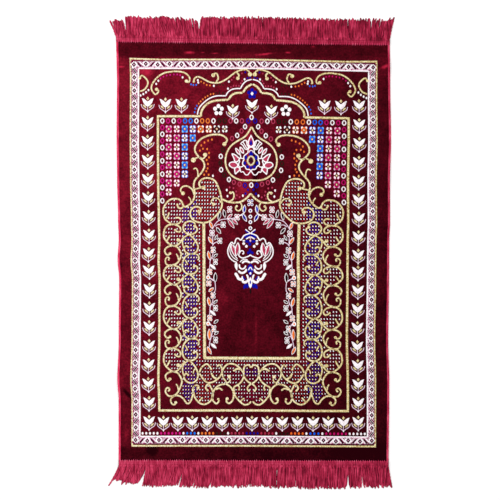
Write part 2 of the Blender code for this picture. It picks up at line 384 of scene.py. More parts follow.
class Loom:
    """Weaves figures into the pile: it keeps one bmesh for each yarn and group of figures."""

    rise: float = 0.0004
    sunk: float = 0.00045
    layer: float = 0.0003
    draw_in: float = 0.93
    step: float = 1.1
    bead_foot: float = 0.58
    bead_top: float = 0.42
    soft_edge: float = 0.25

    def __init__(self, rug: Rug) -> None:
        """Starts with nothing woven, and no gold line seen."""
        self.rug = rug
        self.group = ""
        self.meshes: dict[tuple[str, Yarn], bmesh.types.BMesh] = {}
        self.seen: list[tuple[Point, float]] = []

    def mesh(self, yarn: Yarn) -> bmesh.types.BMesh:
        """The bmesh of a yarn in the present group of figures."""
        key = (self.group if yarn in (Yarn.GOLD, Yarn.WHITE) else "", yarn)
        if key not in self.meshes:
            self.meshes[key] = bmesh.new()
        return self.meshes[key]

    def stroke(self, drawn: Stroke, lay: Lay = PAIR, at: Point = (0, 0), rounds: int = 6) -> None:
        """Weaves a line, petal or drop as a closed lens that runs along its curve.

        Args:
            drawn: the stroke.
            lay: how it lies.
            at: what is added to its points.
            rounds: faces round the stroke.
        """
        path = Path([(u + at[0], v + at[1]) for u, v in drawn.points], drawn.closed)
        count = max(3 if drawn.shape is Shape.LINE else 6, round(path.length / self.step))
        half = drawn.width / 2 * (self.draw_in if drawn.yarn is Yarn.GOLD and not lay.straight else 1.0)
        places = [path.length * i / count for i in range(count + 1)]
        shares = [drawn.shape.share(i / count) for i in range(count + 1)]
        if drawn.shape is Shape.LINE and not drawn.closed:
            near = min(half, path.length / 4)
            caps = [0, near * 0.3, near, path.length - near, path.length - near * 0.3, path.length]
            places = sorted([*places[1:-1], *caps])
            shares = [0, 0.7, *[1.0] * (len(places) - 4), 0.7, 0]
        for side in lay.sides:
            flat = [Vector(self.rug.spot(tuple(path.at(place)), side, lay.straight)) for place in places]
            self.lens(drawn, flat, [half * SQUARE * share for share in shares], rounds, lay.level)
        for radius, end in ((drawn.first_knob, path.track[0]), (drawn.last_knob, path.track[-1])):
            if radius:
                self.bead(drawn.yarn, tuple(end), (2 * radius, 2 * radius), lay, segments=10)
        if drawn.yarn is Yarn.GOLD:
            self.seen += [(tuple(path.at(place)), half) for place in places]

    def lens(self, drawn: Stroke, flat: Sequence[Vector], halves: Sequence[float], rounds: int,
             level: float) -> None:
        """Bends a grid into a closed lens along a flat line.

        Args:
            drawn: the stroke.
            flat: the stations, in metres.
            halves: half the width at each station.
            rounds: faces round it.
            level: how many layers lie under it.
        """
        count = len(flat) - 1
        ahead = []
        for i in range(count + 1):
            after = flat[1] if drawn.closed and i == count else flat[min(i + 1, count)]
            before = flat[-2] if drawn.closed and i == 0 else flat[max(i - 1, 0)]
            ahead.append((after - before).normalized())
        for vertex, i, j in net(self.mesh(drawn.yarn), count, rounds):
            angle = math.tau * j / rounds
            up = math.sin(angle)
            place = flat[i] + Vector((-ahead[i].y, ahead[i].x)) * math.cos(angle) * halves[i]
            height = up * self.rise + level * self.layer if up > 0 else up * self.sunk
            if halves[i] == 0:
                height = level * self.layer
            vertex.co = self.rug.on_pile(place.x, place.y, height)

    def bead(self, yarn: Yarn, centre: Point, size: Point, lay: Lay = PAIR, segments: int = 6,
             turn: float = 0.0) -> None:
        """Weaves a low round stitch, or a diamond where it has four segments.

        Args:
            yarn: its yarn.
            centre: (u, v).
            size: (width, height) in squares.
            lay: how it lies.
            segments: corners of its outline.
            turn: how far it leans over to the right, in degrees.
        """
        bm = self.mesh(yarn)
        for side in lay.sides:
            x, y = self.rug.spot(centre, side, lay.straight)
            made = bmesh.ops.create_cone(bm, cap_ends=True, segments=segments, radius1=self.bead_foot,
                                         radius2=self.bead_top, depth=1.0)["verts"]
            lean = Euler((0, 0, side * math.radians(turn))).to_matrix()
            for vertex in made:
                spread = lean @ Vector((vertex.co.x * size[0], vertex.co.y * size[1], 0)) * SQUARE
                height = self.rise + lay.level * self.layer if vertex.co.z > 0 else -self.sunk
                vertex.co = self.rug.on_pile(x + spread.x, y + spread.y, height)

    def patch(self, yarn: Yarn, outline: Points, lay: Lay = PAIR) -> None:
        """Weaves a filled figure with a soft edge.

        Args:
            yarn: its yarn.
            outline: its corners, in order.
            lay: how it lies.
        """
        bm = self.mesh(yarn)
        for side in lay.sides:
            made = bmesh.ops.create_circle(bm, cap_ends=True, segments=len(outline), radius=1.0)
            for vertex, point in zip(made["verts"], outline):
                x, y = self.rug.spot(point, side, lay.straight)
                vertex.co = self.rug.on_pile(x, y, -self.sunk)
            lifted = bmesh.ops.extrude_face_region(bm, geom=list(made["verts"][0].link_faces))["geom"]
            top = [item for item in lifted if isinstance(item, bmesh.types.BMFace)]
            for vertex in {v for face in top for v in face.verts}:
                vertex.co.z += self.sunk
            bmesh.ops.inset_region(bm, faces=top, thickness=self.soft_edge * SQUARE, depth=0.0)
            for vertex in {v for face in top for v in face.verts}:
                vertex.co.z += self.rise + lay.level * self.layer

    def ring(self, yarn: Yarn, centre: Point, size: Point = (4.7, 6.0), width: float = 1.3,
             lay: Lay = PAIR) -> None:
        """Weaves an oval ring.

        Args:
            yarn: its yarn.
            centre: (u, v).
            size: its outer (width, height) in squares.
            width: the line's width.
            lay: how it lies.
        """
        across, along = (size[0] - width) / 2, (size[1] - width) / 2
        oval = []
        for number in range(8):
            angle, pull = math.tau * number / 8, 0.92 if number % 2 else 1.0
            oval.append((centre[0] + pull * across * math.cos(angle),
                         centre[1] + pull * along * math.sin(angle)))
        self.stroke(Stroke(oval, width, yarn, closed=True), lay, rounds=4)

    def leaf(self, yarn: Yarn, start: Point, end: Point, width: float, lay: Lay = PAIR) -> None:
        """Weaves a pointed leaf.

        Args:
            yarn: its yarn.
            start: (u, v) of its foot.
            end: (u, v) of its tip.
            width: its greatest width in squares.
            lay: how it lies.
        """
        middle = tuple((Vector(start) + Vector(end)) / 2)
        self.stroke(Stroke((start, middle, end), width, yarn, shape=Shape.LEAF), lay)

    def outlined(self, fill: Yarn, start: Point, end: Point, width: float, rim: float = 0.75) -> None:
        """Weaves a pointed leaf with a white edge.

        Args:
            fill: the yarn inside the edge.
            start: (u, v) of its foot.
            end: (u, v) of its tip.
            width: its greatest width, with the edge, in squares.
            rim: the edge's width.
        """
        a, b = Vector(start), Vector(end)
        share = min(0.3, rim * 1.5 / (b - a).length)
        self.leaf(Yarn.WHITE, start, end, width)
        self.leaf(fill, tuple(a.lerp(b, share)), tuple(b.lerp(a, share)), width - 2 * rim, PAIR.over(1))

    def draw(self, figures: "Iterable[Stroke | Beads]") -> None:
        """Weaves strokes and beads on both halves."""
        for figure in figures:
            if isinstance(figure, Stroke):
                self.stroke(figure)
            else:
                for centre in figure.points:
                    self.bead(figure.yarn, centre, figure.size)


@dataclass(frozen=True)
class Border:
    """The gold frames, the guard band between them, and the tulips."""

    outer: float = 121.7
    outer_top: float = 192.3
    outer_corner: float = 193.2
    outer_bottom: float = -193.7
    outer_line: float = 1.9
    strip: float = 114.2
    strip_top: float = 183.6
    strip_bottom: float = -184.4
    strip_line: float = 1.7
    inner: float = 94.7
    inner_top: float = 135.7
    inner_bottom: float = -158.4
    inner_line: float = 2.4
    inner_gap: float = 52.0
    tulip_column: float = 104.9
    tulip_stops: Points = ((0, 154.9), (4, 79.0), (8, 4.6), (9, -12.4), (12, -68.4), (17, -163.2))
    guard_stops: Points = ((0, 187.7), (14, 3.2), (16, -20.4), (29, -188.2))
    extra_tulips: tuple[Point, ...] = ((88.1, 154.1), (72.1, 154.1))
    bottom_stops: Points = ((0, 104.9), (3, 61.6), (7, 1.6))
    bottom_height: float = -163.9
    bead_row: float = -181.2
    bead_pitch: float = 3.73
    bead_start: float = 111.4
    bead_yarns: str = "WWWWWMMMMMMWBBBWOOOOGGGWRRRRNN"
    past: float = -1.6  # how far the runs go past the middle line
    run_step: float = 8.0
    outer_bend: float = 92.0
    inner_corner: float = 2.2
    corner_share: float = 0.46
    guard_side: float = 118.1
    guard_width: float = 6.6
    guard_start: float = 118.4
    guard_pitch: float = 11.74
    guard_bays: int = 11
    stripes_across: tuple[tuple[float, Yarn, float, float, int], ...] = (
        # (shift, yarn, width, share of the bar's length, level)
        (0.0, Yarn.PLUM, 3.6, 1.0, 1), (0.6, Yarn.MAROON, 1.7, 0.95, 2), (-1.0, Yarn.WHITE, 0.7, 0.9, 2),
        (-2.6, Yarn.PLUM, 0.9, 0.8, 1), (2.7, Yarn.LILAC, 0.8, 0.7, 1),
    )
    stripes_along: tuple[tuple[float, Yarn, float, float, int], ...] = (
        (0.0, Yarn.MAROON, 1.6, 1.0, 1), (1.6, Yarn.PLUM, 1.5, 0.95, 1), (-1.6, Yarn.PLUM, 1.5, 0.95, 1),
        (-3.1, Yarn.PLUM, 0.8, 0.6, 1), (3.1, Yarn.PLUM, 0.8, 0.6, 1),
    )

    def weave(self, loom: Loom) -> None:
        """Weaves the whole border."""
        loom.group = "frame"
        self.frames(loom)
        self.guard(loom)
        loom.group = "tulips"
        self.tulips(loom)

    def run(self, loom: Loom, yarn: Yarn, points: Points, width: float, level: float = 0) -> None:
        """Weaves straight runs between corners on both halves.

        Args:
            loom: the loom.
            yarn: their yarn.
            points: the corners on the left half.
            width: the line's width.
            level: how many layers of other figures lie under them.
        """
        for start, end in zip(points, points[1:]):
            steps = max(1, round(math.dist(start, end) / self.run_step))
            shares = [i / steps for i in range(steps + 1)]
            line = [(mix(start[0], end[0], share), mix(start[1], end[1], share)) for share in shares]
            for side in BOTH:
                loom.stroke(Stroke(line, width, yarn), Lay((side,), True, level + LAP * side))

    def frames(self, loom: Loom) -> None:
        """Weaves the gold frames with their square corners, and the white strip."""
        outer = ((self.past, self.outer_top), (self.outer_bend, self.outer_top), (self.outer,
                                                                                  self.outer_corner),
                 (self.outer, self.outer_bottom), (self.past, self.outer_bottom))
        inner = ((self.inner_gap, self.inner_top), (self.inner, self.inner_top), (self.inner,
                                                                                  self.inner_bottom),
                 (self.past, self.inner_bottom))
        strip = ((self.past, self.strip_top), (self.strip, self.strip_top), (self.strip, self.strip_bottom),
                 (self.past, self.strip_bottom))
        self.run(loom, Yarn.GOLD, outer, self.outer_line)
        self.run(loom, Yarn.GOLD, inner, self.inner_line)
        for (u, v), width in ((outer[2], self.outer_line), (inner[1], self.inner_corner),
                              (outer[3], self.outer_line), (inner[2], self.inner_corner)):
            half = self.corner_share * width
            corner = ((u - half, v - half), (u + half, v - half), (u + half, v + half), (u - half, v + half))
            loom.patch(Yarn.GOLD, corner, EDGE)
        self.run(loom, Yarn.WHITE, strip, self.strip_line)

    def guard(self, loom: Loom) -> None:
        """Weaves the guard band: a pale ground with a zigzag of bars and a diamond in each of its bays."""
        (_, top), (rows, bottom) = self.guard_stops[0], self.guard_stops[-1]
        side, past = self.guard_side, self.past
        self.run(loom, Yarn.WHITE, ((past, top), (side, top), (side, bottom), (past, bottom)),
                 self.guard_width)
        for rim, yarn, width in ((3.2, Yarn.PLUM, 0.5), (-3.0, Yarn.LILAC, 0.7)):
            out = side + rim * 0.85
            line = ((past, top + rim), (out, top + rim), (out, bottom - rim), (past, bottom - rim))
            self.run(loom, yarn, line, width, 1)
        for number in range(self.guard_bays):
            u, turned = self.guard_start - self.guard_pitch * number, 1 if number % 2 == 0 else -1
            lay = EDGE_ONCE if number == self.guard_bays - 1 else EDGE
            for row, up in ((top, 1), (bottom, -1)):
                self.diamond(loom, (u, row - 0.4 * up * turned), lay, along=False)
                if lay is EDGE:
                    self.bar(loom, (u - self.guard_pitch / 2, row), turned * up, along=False)
        for number in range(rows):
            v, following = between(self.guard_stops, number), between(self.guard_stops, number + 1)
            if number:
                self.diamond(loom, (side + 0.2, v), EDGE, along=True)
            self.bar(loom, (side, (v + following) / 2), 1 if number % 2 == 0 else -1, along=True)

    def diamond(self, loom: Loom, centre: Point, lay: Lay, along: bool) -> None:
        """Weaves a dark diamond on its pale ground, with the marks at the ground's corners.

        Args:
            loom: the loom.
            centre: (u, v).
            lay: how it lies.
            along: whether the band runs along the rug there.
        """
        u, v = centre
        ground, mark = ((6.0, 7.6), (2.3, 2.9)) if along else ((7.6, 6.8), (3.0, 2.5))
        loom.bead(Yarn.WHITE, centre, ground, lay.over(1), segments=4)
        loom.bead(Yarn.MAROON, centre, (4.8, 5.8), lay.over(2), segments=4)
        loom.bead(Yarn.LILAC, centre, (1.5, 1.9), lay.over(3), segments=4)
        for across in (-1, 1):
            for up in (-1, 1):
                place = (u + across * mark[0], v + up * mark[1])
                loom.bead(Yarn.PLUM, place, (1.7, 2.0), lay.over(2), segments=4)

    def bar(self, loom: Loom, middle: Point, turned: int, along: bool) -> None:
        """Weaves a slanted bar: a plum band with dark stripes.

        Args:
            loom: the loom.
            middle: (u, v) of its middle.
            turned: 1 or -1, which way it leans.
            along: whether the band runs along the rug there.
        """
        lean = Vector((turned * 1.9, 2.5)) if along else Vector((turned * 2.0, 2.2))
        apart = Vector((lean.y, -lean.x)).normalized() * turned
        for shift, yarn, width, share, level in self.stripes_along if along else self.stripes_across:
            place = Vector(middle) + apart * shift
            ends = (tuple(place + lean * share), tuple(place - lean * share))
            loom.stroke(Stroke(ends, width, yarn), EDGE.over(level))

    def tulips(self, loom: Loom) -> None:
        """Weaves the tulips down both sides, at the niche's shoulders and along the foot, and their beads."""
        for number in range(self.tulip_stops[-1][0] + 1):
            tulip(loom, (self.tulip_column, between(self.tulip_stops, number)), EDGE)
        for place in self.extra_tulips:
            tulip(loom, place)
        last = self.bottom_stops[-1][0]
        for number in range(1, last + 1):
            place = (between(self.bottom_stops, number), self.bottom_height)
            tulip(loom, place, EDGE_ONCE if number == last else EDGE)
        for number, letter in enumerate(self.bead_yarns):
            u = self.bead_start - self.bead_pitch * number
            loom.bead(LETTERS[letter], (u, self.bead_row), (2.2, 2.9), EDGE, segments=8)


def tulip(loom: Loom, bud: Point, lay: Lay = PAIR, with_bud: bool = True) -> None:
    """Weaves a tulip: a gold bud, a white cup, two gold leaves and the outline under them.

    Args:
        loom: the loom.
        bud: (u, v) of the bud's middle.
        lay: how it lies.
        with_bud: whether it has its bud and stem.
    """
    u, v = bud
    half_cup = ((1.3, -3.6), (2.7, -2.4), (4.2, -1.5), (5.8, -1.1), (5.1, -3.3), (4.2, -5.9), (2.5, -8.2))
    cup = [(u, v - 4.6), *[(u + x, v + y) for x, y in half_cup], (u, v - 9.8), *[(u - x, v + y) for x,
                                                                                 y in reversed(half_cup)]]
    loom.patch(Yarn.WHITE, cup, lay)
    if with_bud:
        loom.bead(Yarn.GOLD, (u, v - 1.5), (2.9, 3.9), lay, segments=4)
        loom.stroke(Stroke(((u, v - 9.0), (u, v - 15.0)), 0.8, Yarn.PALE), lay, rounds=4)
    for way in (-1, 1):
        loom.leaf(Yarn.GOLD, (u + way * 5.0, v - 7.6), (u + way * 1.2, v - 11.2), 1.9, lay)
        curve = ((6.5, -7.0), (5.5, -10.2), (2.6, -12.4), (0.0, -14.3))
        loom.stroke(Stroke([(u + way * x, v + y) for x, y in curve], 0.9, Yarn.PALE), lay, rounds=4)
    loom.bead(Yarn.WHITE, (u, v - 14.4), (1.7, 2.6), lay, segments=4)


@dataclass(frozen=True)
class TopScrolls:
    """The gold scrolls over the arch, with their beads."""

    scrolls: tuple[Stroke | Beads, ...] = (
        Stroke(((113.9, 173.8), (111.0, 176.3), (105.6, 170.0), (108.5, 162.9), (113.9, 160.4)),
               first_knob=1.5),
        Stroke(((97.0, 162.6), (94.8, 160.7), (98.3, 157.5), (102.1, 163.0), (100.8, 168.7), (95.7, 175.0),
                (89.3, 178.9), (83.0, 180.1), (77.6, 180.6), (70.6, 179.7), (66.0, 177.1), (63.7, 173.1),
                (64.9, 169.6), (67.2, 170.8)), first_knob=1.7, last_knob=1.7),
        Stroke(((59.7, 170.2), (59.2, 173.1), (56.3, 175.1), (52.3, 174.2), (47.7, 171.6), (43.1, 169.6),
                (38.5, 169.0), (33.3, 169.6), (27.6, 172.5), (23.0, 175.9), (18.4, 179.4), (13.2, 181.7),
                (7.5, 182.5), (5.5, 182.8)), first_knob=1.2),
        Stroke(((37.6, 169.8), (35.3, 173.6), (36.8, 178.2), (39.1, 178.2), (40.3, 176.7)), last_knob=2.0),
        Stroke(((16.9, 179.4), (14.6, 176.7), (15.8, 173.6)), 2.0, last_knob=1.8),
        Stroke(((7.0, 181.5), (4.6, 180.6), (3.6, 177.6)), 1.6, last_knob=2.2),
    )
    beads: tuple[Beads, ...] = (
        Beads(Yarn.WHITE, ((112.9, 156.5), (110.2, 157.8), (107.5, 159.6), (105.1, 161.8), (97.3, 168.0),
                           (95.2, 171.1), (70.9, 174.6), (55.7, 171.7), (55.3, 169.4), (39.7, 166.1),
                           (24.6, 170.3), (9.0, 172.6), (25.6, 163.3)), (2.0, 2.6)),
        Beads(Yarn.MAGENTA, ((93.0, 173.4), (90.1, 175.2), (86.8, 176.4), (83.4, 177.0), (79.7, 177.4),
                             (76.4, 177.4), (73.4, 176.7))),
        Beads(Yarn.BLUE, ((62.5, 167.5), (60.2, 166.8), (57.3, 167.1), (56.7, 146.2), (58.2, 143.3),
                          (58.9, 139.7))),
        Beads(Yarn.ORANGE, ((52.4, 170.3), (49.7, 168.8), (46.8, 167.0), (43.6, 166.4), (40.1, 158.1),
                            (42.9, 157.6), (45.9, 156.0), (48.3, 154.5), (50.7, 152.6), (52.9, 150.5),
                            (54.8, 148.4))),
        Beads(Yarn.GREEN, ((36.6, 167.0), (33.6, 167.0), (30.6, 167.0), (37.6, 159.0), (34.1, 159.0),
                           (30.6, 159.0))),
        Beads(Yarn.ROSE, ((21.9, 172.1), (19.8, 174.6), (11.6, 178.6), (11.4, 171.0), (12.7, 168.7),
                          (14.6, 166.0), (17.3, 166.1), (20.1, 166.1), (22.7, 164.8))),
        Beads(Yarn.NAVY, ((8.3, 179.6), (6.2, 173.8), (3.5, 174.4)), (2.0, 2.2)),
    )

    def weave(self, loom: Loom) -> None:
        """Weaves the scrolls and their beads."""
        loom.group = "scrolls"
        loom.draw(self.scrolls)
        loom.draw(self.beads)


@dataclass(frozen=True)
class Arch:
    """The lobed arch and the flowers in its head."""

    gold: tuple[Points, ...] = (
        ((52.1, 135.4), (52.5, 139.2), (49.8, 144.6), (44.5, 149.2), (36.8, 151.4), (24.9, 152.2)),
        ((24.9, 152.2), (22.3, 156.4), (17.7, 158.7), (10.8, 159.1)),
        ((10.8, 159.1), (7.0, 164.5), (1.6, 167.9)),
    )
    white: tuple[Points, ...] = (
        ((56.3, 137.0), (54.4, 143.8), (49.8, 149.2), (43.7, 153.7), (36.8, 156.0), (27.6, 156.0)),
        ((27.6, 156.0), (26.1, 159.1), (22.3, 162.2), (17.7, 163.3), (13.1, 163.3)),
        ((13.1, 163.3), (10.8, 167.5), (7.0, 171.0), (1.6, 172.5)),
    )
    ring_row: float = 131.0
    ring_start: float = 91.2
    ring_pitch: float = 5.68
    ring_yarns: str = "WMWMBBWOOWGGRWR"
    ring_column: int = 13
    column_pitch: float = -6.65
    diagonal: tuple[tuple[float, float, str], ...] = (
        (5.3, 131.0, "N"), (8.5, 125.3, "W"), (12.0, 120.9, "R"), (16.4, 116.5, "W"), (21.5, 113.4, "R"),
        (32.8, 95.6, "W"), (32.4, 82.2, "W"), (33.0, 89.0, "G"), (30.6, 102.0, "G"), (29.2, 77.0, "G"),
        (24.6, 72.4, "W"), (19.7, 69.7, "R"), (14.0, 67.9, "R"), (8.7, 66.6, "N"),
    )
    rosette_counts: tuple[int, ...] = (8, 4, 3, 3, 3, 3, 2, 1)
    rosette_first: Point = (84.8, 122.9)
    rosette_pitch: Point = (8.0, 9.0)

    def weave(self, loom: Loom) -> None:
        """Weaves the arch, its flowers, the rings and the rosettes."""
        loom.group = "arch"
        for points in self.gold:
            loom.stroke(Stroke(points, 2.4))
        for points in self.white:
            loom.stroke(Stroke(points, 1.3, Yarn.WHITE))
        loom.group = "niche"
        tulip(loom, (20.8, 147.6))
        tulip(loom, (1.6, 153.6), ONCE, with_bud=False)
        self.daisy(loom, (35.1, 142.0))
        self.star_flower(loom, (1.5, 158.3))
        self.rings(loom)
        self.rosettes(loom)

    def daisy(self, loom: Loom, centre: Point) -> None:
        """Weaves a flower of five white petals round a black heart."""
        for number in range(5):
            angle = math.radians(90 + 72 * number)
            u, v = centre[0] + 3.5 * math.cos(angle), centre[1] + 3.9 * math.sin(angle)
            loom.bead(Yarn.WHITE, (u, v), (4.1, 4.3), segments=10)
        loom.bead(Yarn.BLACK, centre, (3.8, 3.8), segments=8)

    def star_flower(self, loom: Loom, centre: Point) -> None:
        """Weaves the dark blue flower at the top of the niche."""
        for number in range(5):
            angle = math.radians(90 + 72 * number)
            u, v = centre[0] + 3.2 * math.cos(angle), centre[1] + 3.6 * math.sin(angle)
            loom.bead(Yarn.NAVY, (u, v), (3.9, 4.2), ONCE, segments=8)
        loom.bead(Yarn.WHITE, centre, (3.2, 4.2), ONCE, segments=4)

    def rings(self, loom: Loom) -> None:
        """Weaves the rings under the arch, down the niche's sides and round the medallion."""
        for number, letter in enumerate(self.ring_yarns):
            loom.ring(LETTERS[letter], (self.ring_start - self.ring_pitch * number, self.ring_row))
        for number in range(1, self.ring_column):
            yarn = Yarn.MAGENTA if number % 2 else Yarn.WHITE
            loom.ring(yarn, (self.ring_start, self.ring_row + self.column_pitch * number))
        for u, v, letter in self.diagonal:
            loom.ring(LETTERS[letter], (u, v), (4.6, 5.9))
        for centre in ((2.0, 134.6), (2.3, 66.8)):
            loom.ring(Yarn.WHITE, centre, lay=ONCE)

    def rosettes(self, loom: Loom) -> None:
        """Weaves the square rosettes that fill the niche's corners."""
        tints = (Yarn.MAGENTA, Yarn.BLUE, Yarn.ORANGE, Yarn.GREEN)
        for row, count in enumerate(self.rosette_counts):
            for column in range(count):
                u = self.rosette_first[0] - self.rosette_pitch[0] * column
                v = self.rosette_first[1] - self.rosette_pitch[1] * row
                self.rosette(loom, (u, v), tints[column // 2], (row + column) % 2 == 0)

    def rosette(self, loom: Loom, centre: Point, tint: Yarn, square: bool) -> None:
        """Weaves one rosette.

        Args:
            loom: the loom.
            centre: (u, v).
            tint: its colour.
            square: whether it is a ring with pale corners; otherwise it has four petals.
        """
        u, v = centre
        for across in (-1, 1):
            for up in (-1, 1):
                turn = across * up * 30
                if square:
                    corner = {Yarn.MAGENTA: Yarn.LILAC, Yarn.BLUE: Yarn.SKY}.get(tint, Yarn.WHITE)
                    loom.bead(corner, (u + across * 1.9, v + up * 2.3), (2.4, 2.9), segments=8)
                else:
                    loom.bead(tint, (u + across * 1.75, v + up * 2.15), (2.9, 3.8), segments=8, turn=turn)
                    loom.bead(Yarn.WHITE, (u + across * 1.6, v + up * 2.05), (2.1, 3.2), PAIR.over(1),
                              segments=8, turn=turn)
        if square:
            loom.bead(tint, centre, (5.8, 6.8), PAIR.over(1), segments=8)
            loom.bead(Yarn.CRIMSON, centre, (3.3, 4.0), PAIR.over(2), segments=8)
        loom.bead(Yarn.GOLD, centre, (1.9, 2.4), PAIR.over(3))


@dataclass(frozen=True)
class Medallion:
    """The teardrop under the arch with its lotus."""

    teardrop: Points = ((2.0, 125.2), (4.9, 120.1), (7.7, 116.3), (11.0, 113.7), (15.5, 111.2), (19.9, 108.4),
                        (23.8, 104.6), (26.6, 99.6), (28.0, 94.0), (28.0, 88.4), (26.6, 83.2), (23.6, 78.2),
                        (19.6, 74.8), (14.0, 72.3), (8.0, 71.6), (1.4, 71.8))
    heart: Point = (2.6, 91.3)
    lines: tuple[Points, ...] = (
        ((5.6, 102.6), (5.7, 99.4), (7.2, 97.9), (9.2, 96.4), (9.9, 94.2), (9.6, 92.2), (10.6, 90.6),
         (11.0, 89.0), (10.8, 87.3), (9.4, 86.1), (8.4, 85.4), (7.9, 83.8), (6.8, 82.7), (5.2, 82.4),
         (4.0, 82.6), (3.2, 81.2), (2.6, 80.2)),
        ((13.2, 97.4), (12.9, 95.0), (12.7, 93.9), (9.8, 93.2)),
        ((12.7, 93.9), (14.4, 93.0), (14.0, 90.4), (14.9, 88.2), (14.8, 85.9), (13.6, 85.0), (11.4, 85.3),
         (10.2, 86.4)),
        ((13.8, 85.2), (13.4, 82.8), (13.2, 81.2), (12.4, 79.8), (10.6, 80.3), (9.5, 79.2), (8.7, 77.8),
         (7.4, 77.0), (5.6, 77.3), (4.3, 79.0), (3.2, 80.4), (2.6, 81.2)),
        ((5.5, 101.0), (5.2, 103.0), (4.0, 104.5), (2.4, 105.1)),
        ((4.7, 99.2), (4.1, 100.9), (2.4, 101.7)),
    )
    fan: Points = ((13.3, 108.5), (11.3, 110.3), (8.9, 112.0), (6.9, 111.7), (5.6, 110.0), (4.9, 105.3),
                   (5.6, 103.0), (6.9, 102.0), (8.9, 103.0), (9.9, 104.7), (10.9, 106.3), (12.3, 107.7))
    petals: tuple[tuple[Points, Points], ...] = (
        (((22.0, 98.6), (18.9, 97.7), (16.6, 96.3), (14.6, 94.2), (13.4, 93.4), (14.6, 91.2), (16.6, 89.6),
          (18.9, 90.3), (19.8, 92.7), (20.9, 95.9)),
         ((20.5, 96.9), (17.6, 95.8), (15.0, 93.5), (15.4, 92.2), (16.9, 90.7), (18.3, 91.1), (19.0, 93.4))),
        (((24.9, 87.4), (23.8, 89.5), (21.6, 90.4), (18.9, 90.3), (16.6, 89.2), (15.2, 87.0), (16.0, 85.0),
          (18.4, 83.6), (20.8, 83.6), (22.8, 84.6), (24.4, 86.0)),
         ((23.9, 87.4), (22.5, 88.9), (20.4, 89.3), (18.0, 88.7), (16.4, 87.0), (17.4, 85.3), (19.6, 84.6),
          (21.6, 84.9), (22.9, 86.0))),
        (((18.3, 77.4), (19.2, 80.4), (19.4, 83.3), (18.6, 84.4), (16.2, 85.4), (14.2, 84.8), (13.2, 82.4),
          (14.6, 80.4), (16.6, 79.0)),
         ((17.7, 79.2), (18.3, 81.4), (18.2, 83.2), (16.5, 84.5), (14.9, 83.9), (14.3, 82.4), (15.4, 81.1))),
    )

    def weave(self, loom: Loom) -> None:
        """Weaves the teardrop and the lotus."""
        loom.group = "medallion"
        loom.stroke(Stroke(self.teardrop, 1.9))
        self.flame(loom)
        self.leaves(loom)
        self.lotus(loom)

    def even(self, loom: Loom, yarn: Yarn, half: Points, level: int = 0) -> None:
        """Weaves a patch that is alike on both sides of the lotus's middle.

        Args:
            loom: the loom.
            yarn: its yarn.
            half: its (distance from the middle, v) from the top down, which starts and ends at the middle.
            level: how many layers of other figures lie under it.
        """
        middle = self.heart[0]
        outline = [(middle + x, v) for x, v in half] + [(middle - x, v) for x, v in half[-2:0:-1]]
        loom.patch(yarn, outline, ONCE.over(level))

    def lotus(self, loom: Loom) -> None:
        """Weaves the heart: a gold ring on dark blue petals, and the white lines round them."""
        u, v = self.heart
        loom.ring(Yarn.GOLD, self.heart, (8.9, 11.3), 2.1, ONCE.over(1))
        loom.bead(Yarn.MAROON, self.heart, (4.9, 7.2), ONCE.over(1), segments=8)
        loom.bead(Yarn.BLACK, self.heart, (2.2, 3.2), ONCE.over(2), segments=8)
        for across, up, width, height in ((5.0, 3.2, 2.8, 4.9), (6.2, -2.5, 2.9, 3.7), (3.4, -6.1, 3.6, 3.5)):
            for way in (-1, 1):
                loom.bead(Yarn.NAVY, (u + way * across, v + up), (width, height), ONCE, segments=8)
        self.even(loom, Yarn.NAVY, ((0.0, 101.0), (1.4, 99.4), (2.2, 98.0), (1.9, 96.2), (0.0, 96.0)))
        loom.bead(Yarn.NAVY, (u, v - 7.0), (2.3, 4.4), ONCE, segments=8)
        for number, line in enumerate(self.lines):
            loom.stroke(Stroke(line, 1.15 if number < 5 else 0.9, Yarn.WHITE))

    def leaves(self, loom: Loom) -> None:
        """Weaves the leaves and the fans round the heart."""
        for outer, inner in self.petals:
            loom.patch(Yarn.ROSE, inner)
            loom.stroke(Stroke(self.drawn_in(outer, 0.55), 1.3, Yarn.WHITE, closed=True))
        for foot, tip, width in (((13.2, 96.6), (18.2, 104.2), 4.0), ((9.8, 98.0), (13.8, 105.4), 4.2)):
            loom.outlined(Yarn.ROSE, foot, tip, width, rim=1.05)
        loom.stroke(Stroke(self.drawn_in(self.fan, 0.4), 1.1, Yarn.WHITE, closed=True))
        loom.draw((
            Stroke(((10.9, 110.3), (9.4, 108.0), (7.9, 105.4), (6.6, 103.2)), 1.0, Yarn.WHITE),
            Stroke(((7.6, 111.6), (7.0, 109.0), (6.2, 105.6)), 0.9, Yarn.WHITE),
        ))

    @staticmethod
    def drawn_in(outline: Points, inset: float) -> Points:
        """An outline drawn in towards its middle."""
        middle = sum((Vector(point) for point in outline), Vector((0, 0))) / len(outline)
        return [tuple(Vector(point) + (middle - Vector(point)).normalized() * inset) for point in outline]

    def flame(self, loom: Loom) -> None:
        """Weaves the flame over the heart."""
        self.even(loom, Yarn.WHITE, ((0.0, 117.5), (1.9, 113.8), (3.3, 110.6), (3.6, 107.8), (2.9, 105.2),
                                     (0.0, 104.0)))
        self.even(loom, Yarn.ROSE, ((0.0, 115.4), (1.5, 112.4), (2.4, 109.6), (2.2, 107.2), (0.0, 105.5)), 1)
        self.even(loom, Yarn.NAVY, ((0.0, 112.6), (1.3, 110.0), (1.7, 107.8), (0.0, 105.9)), 2)


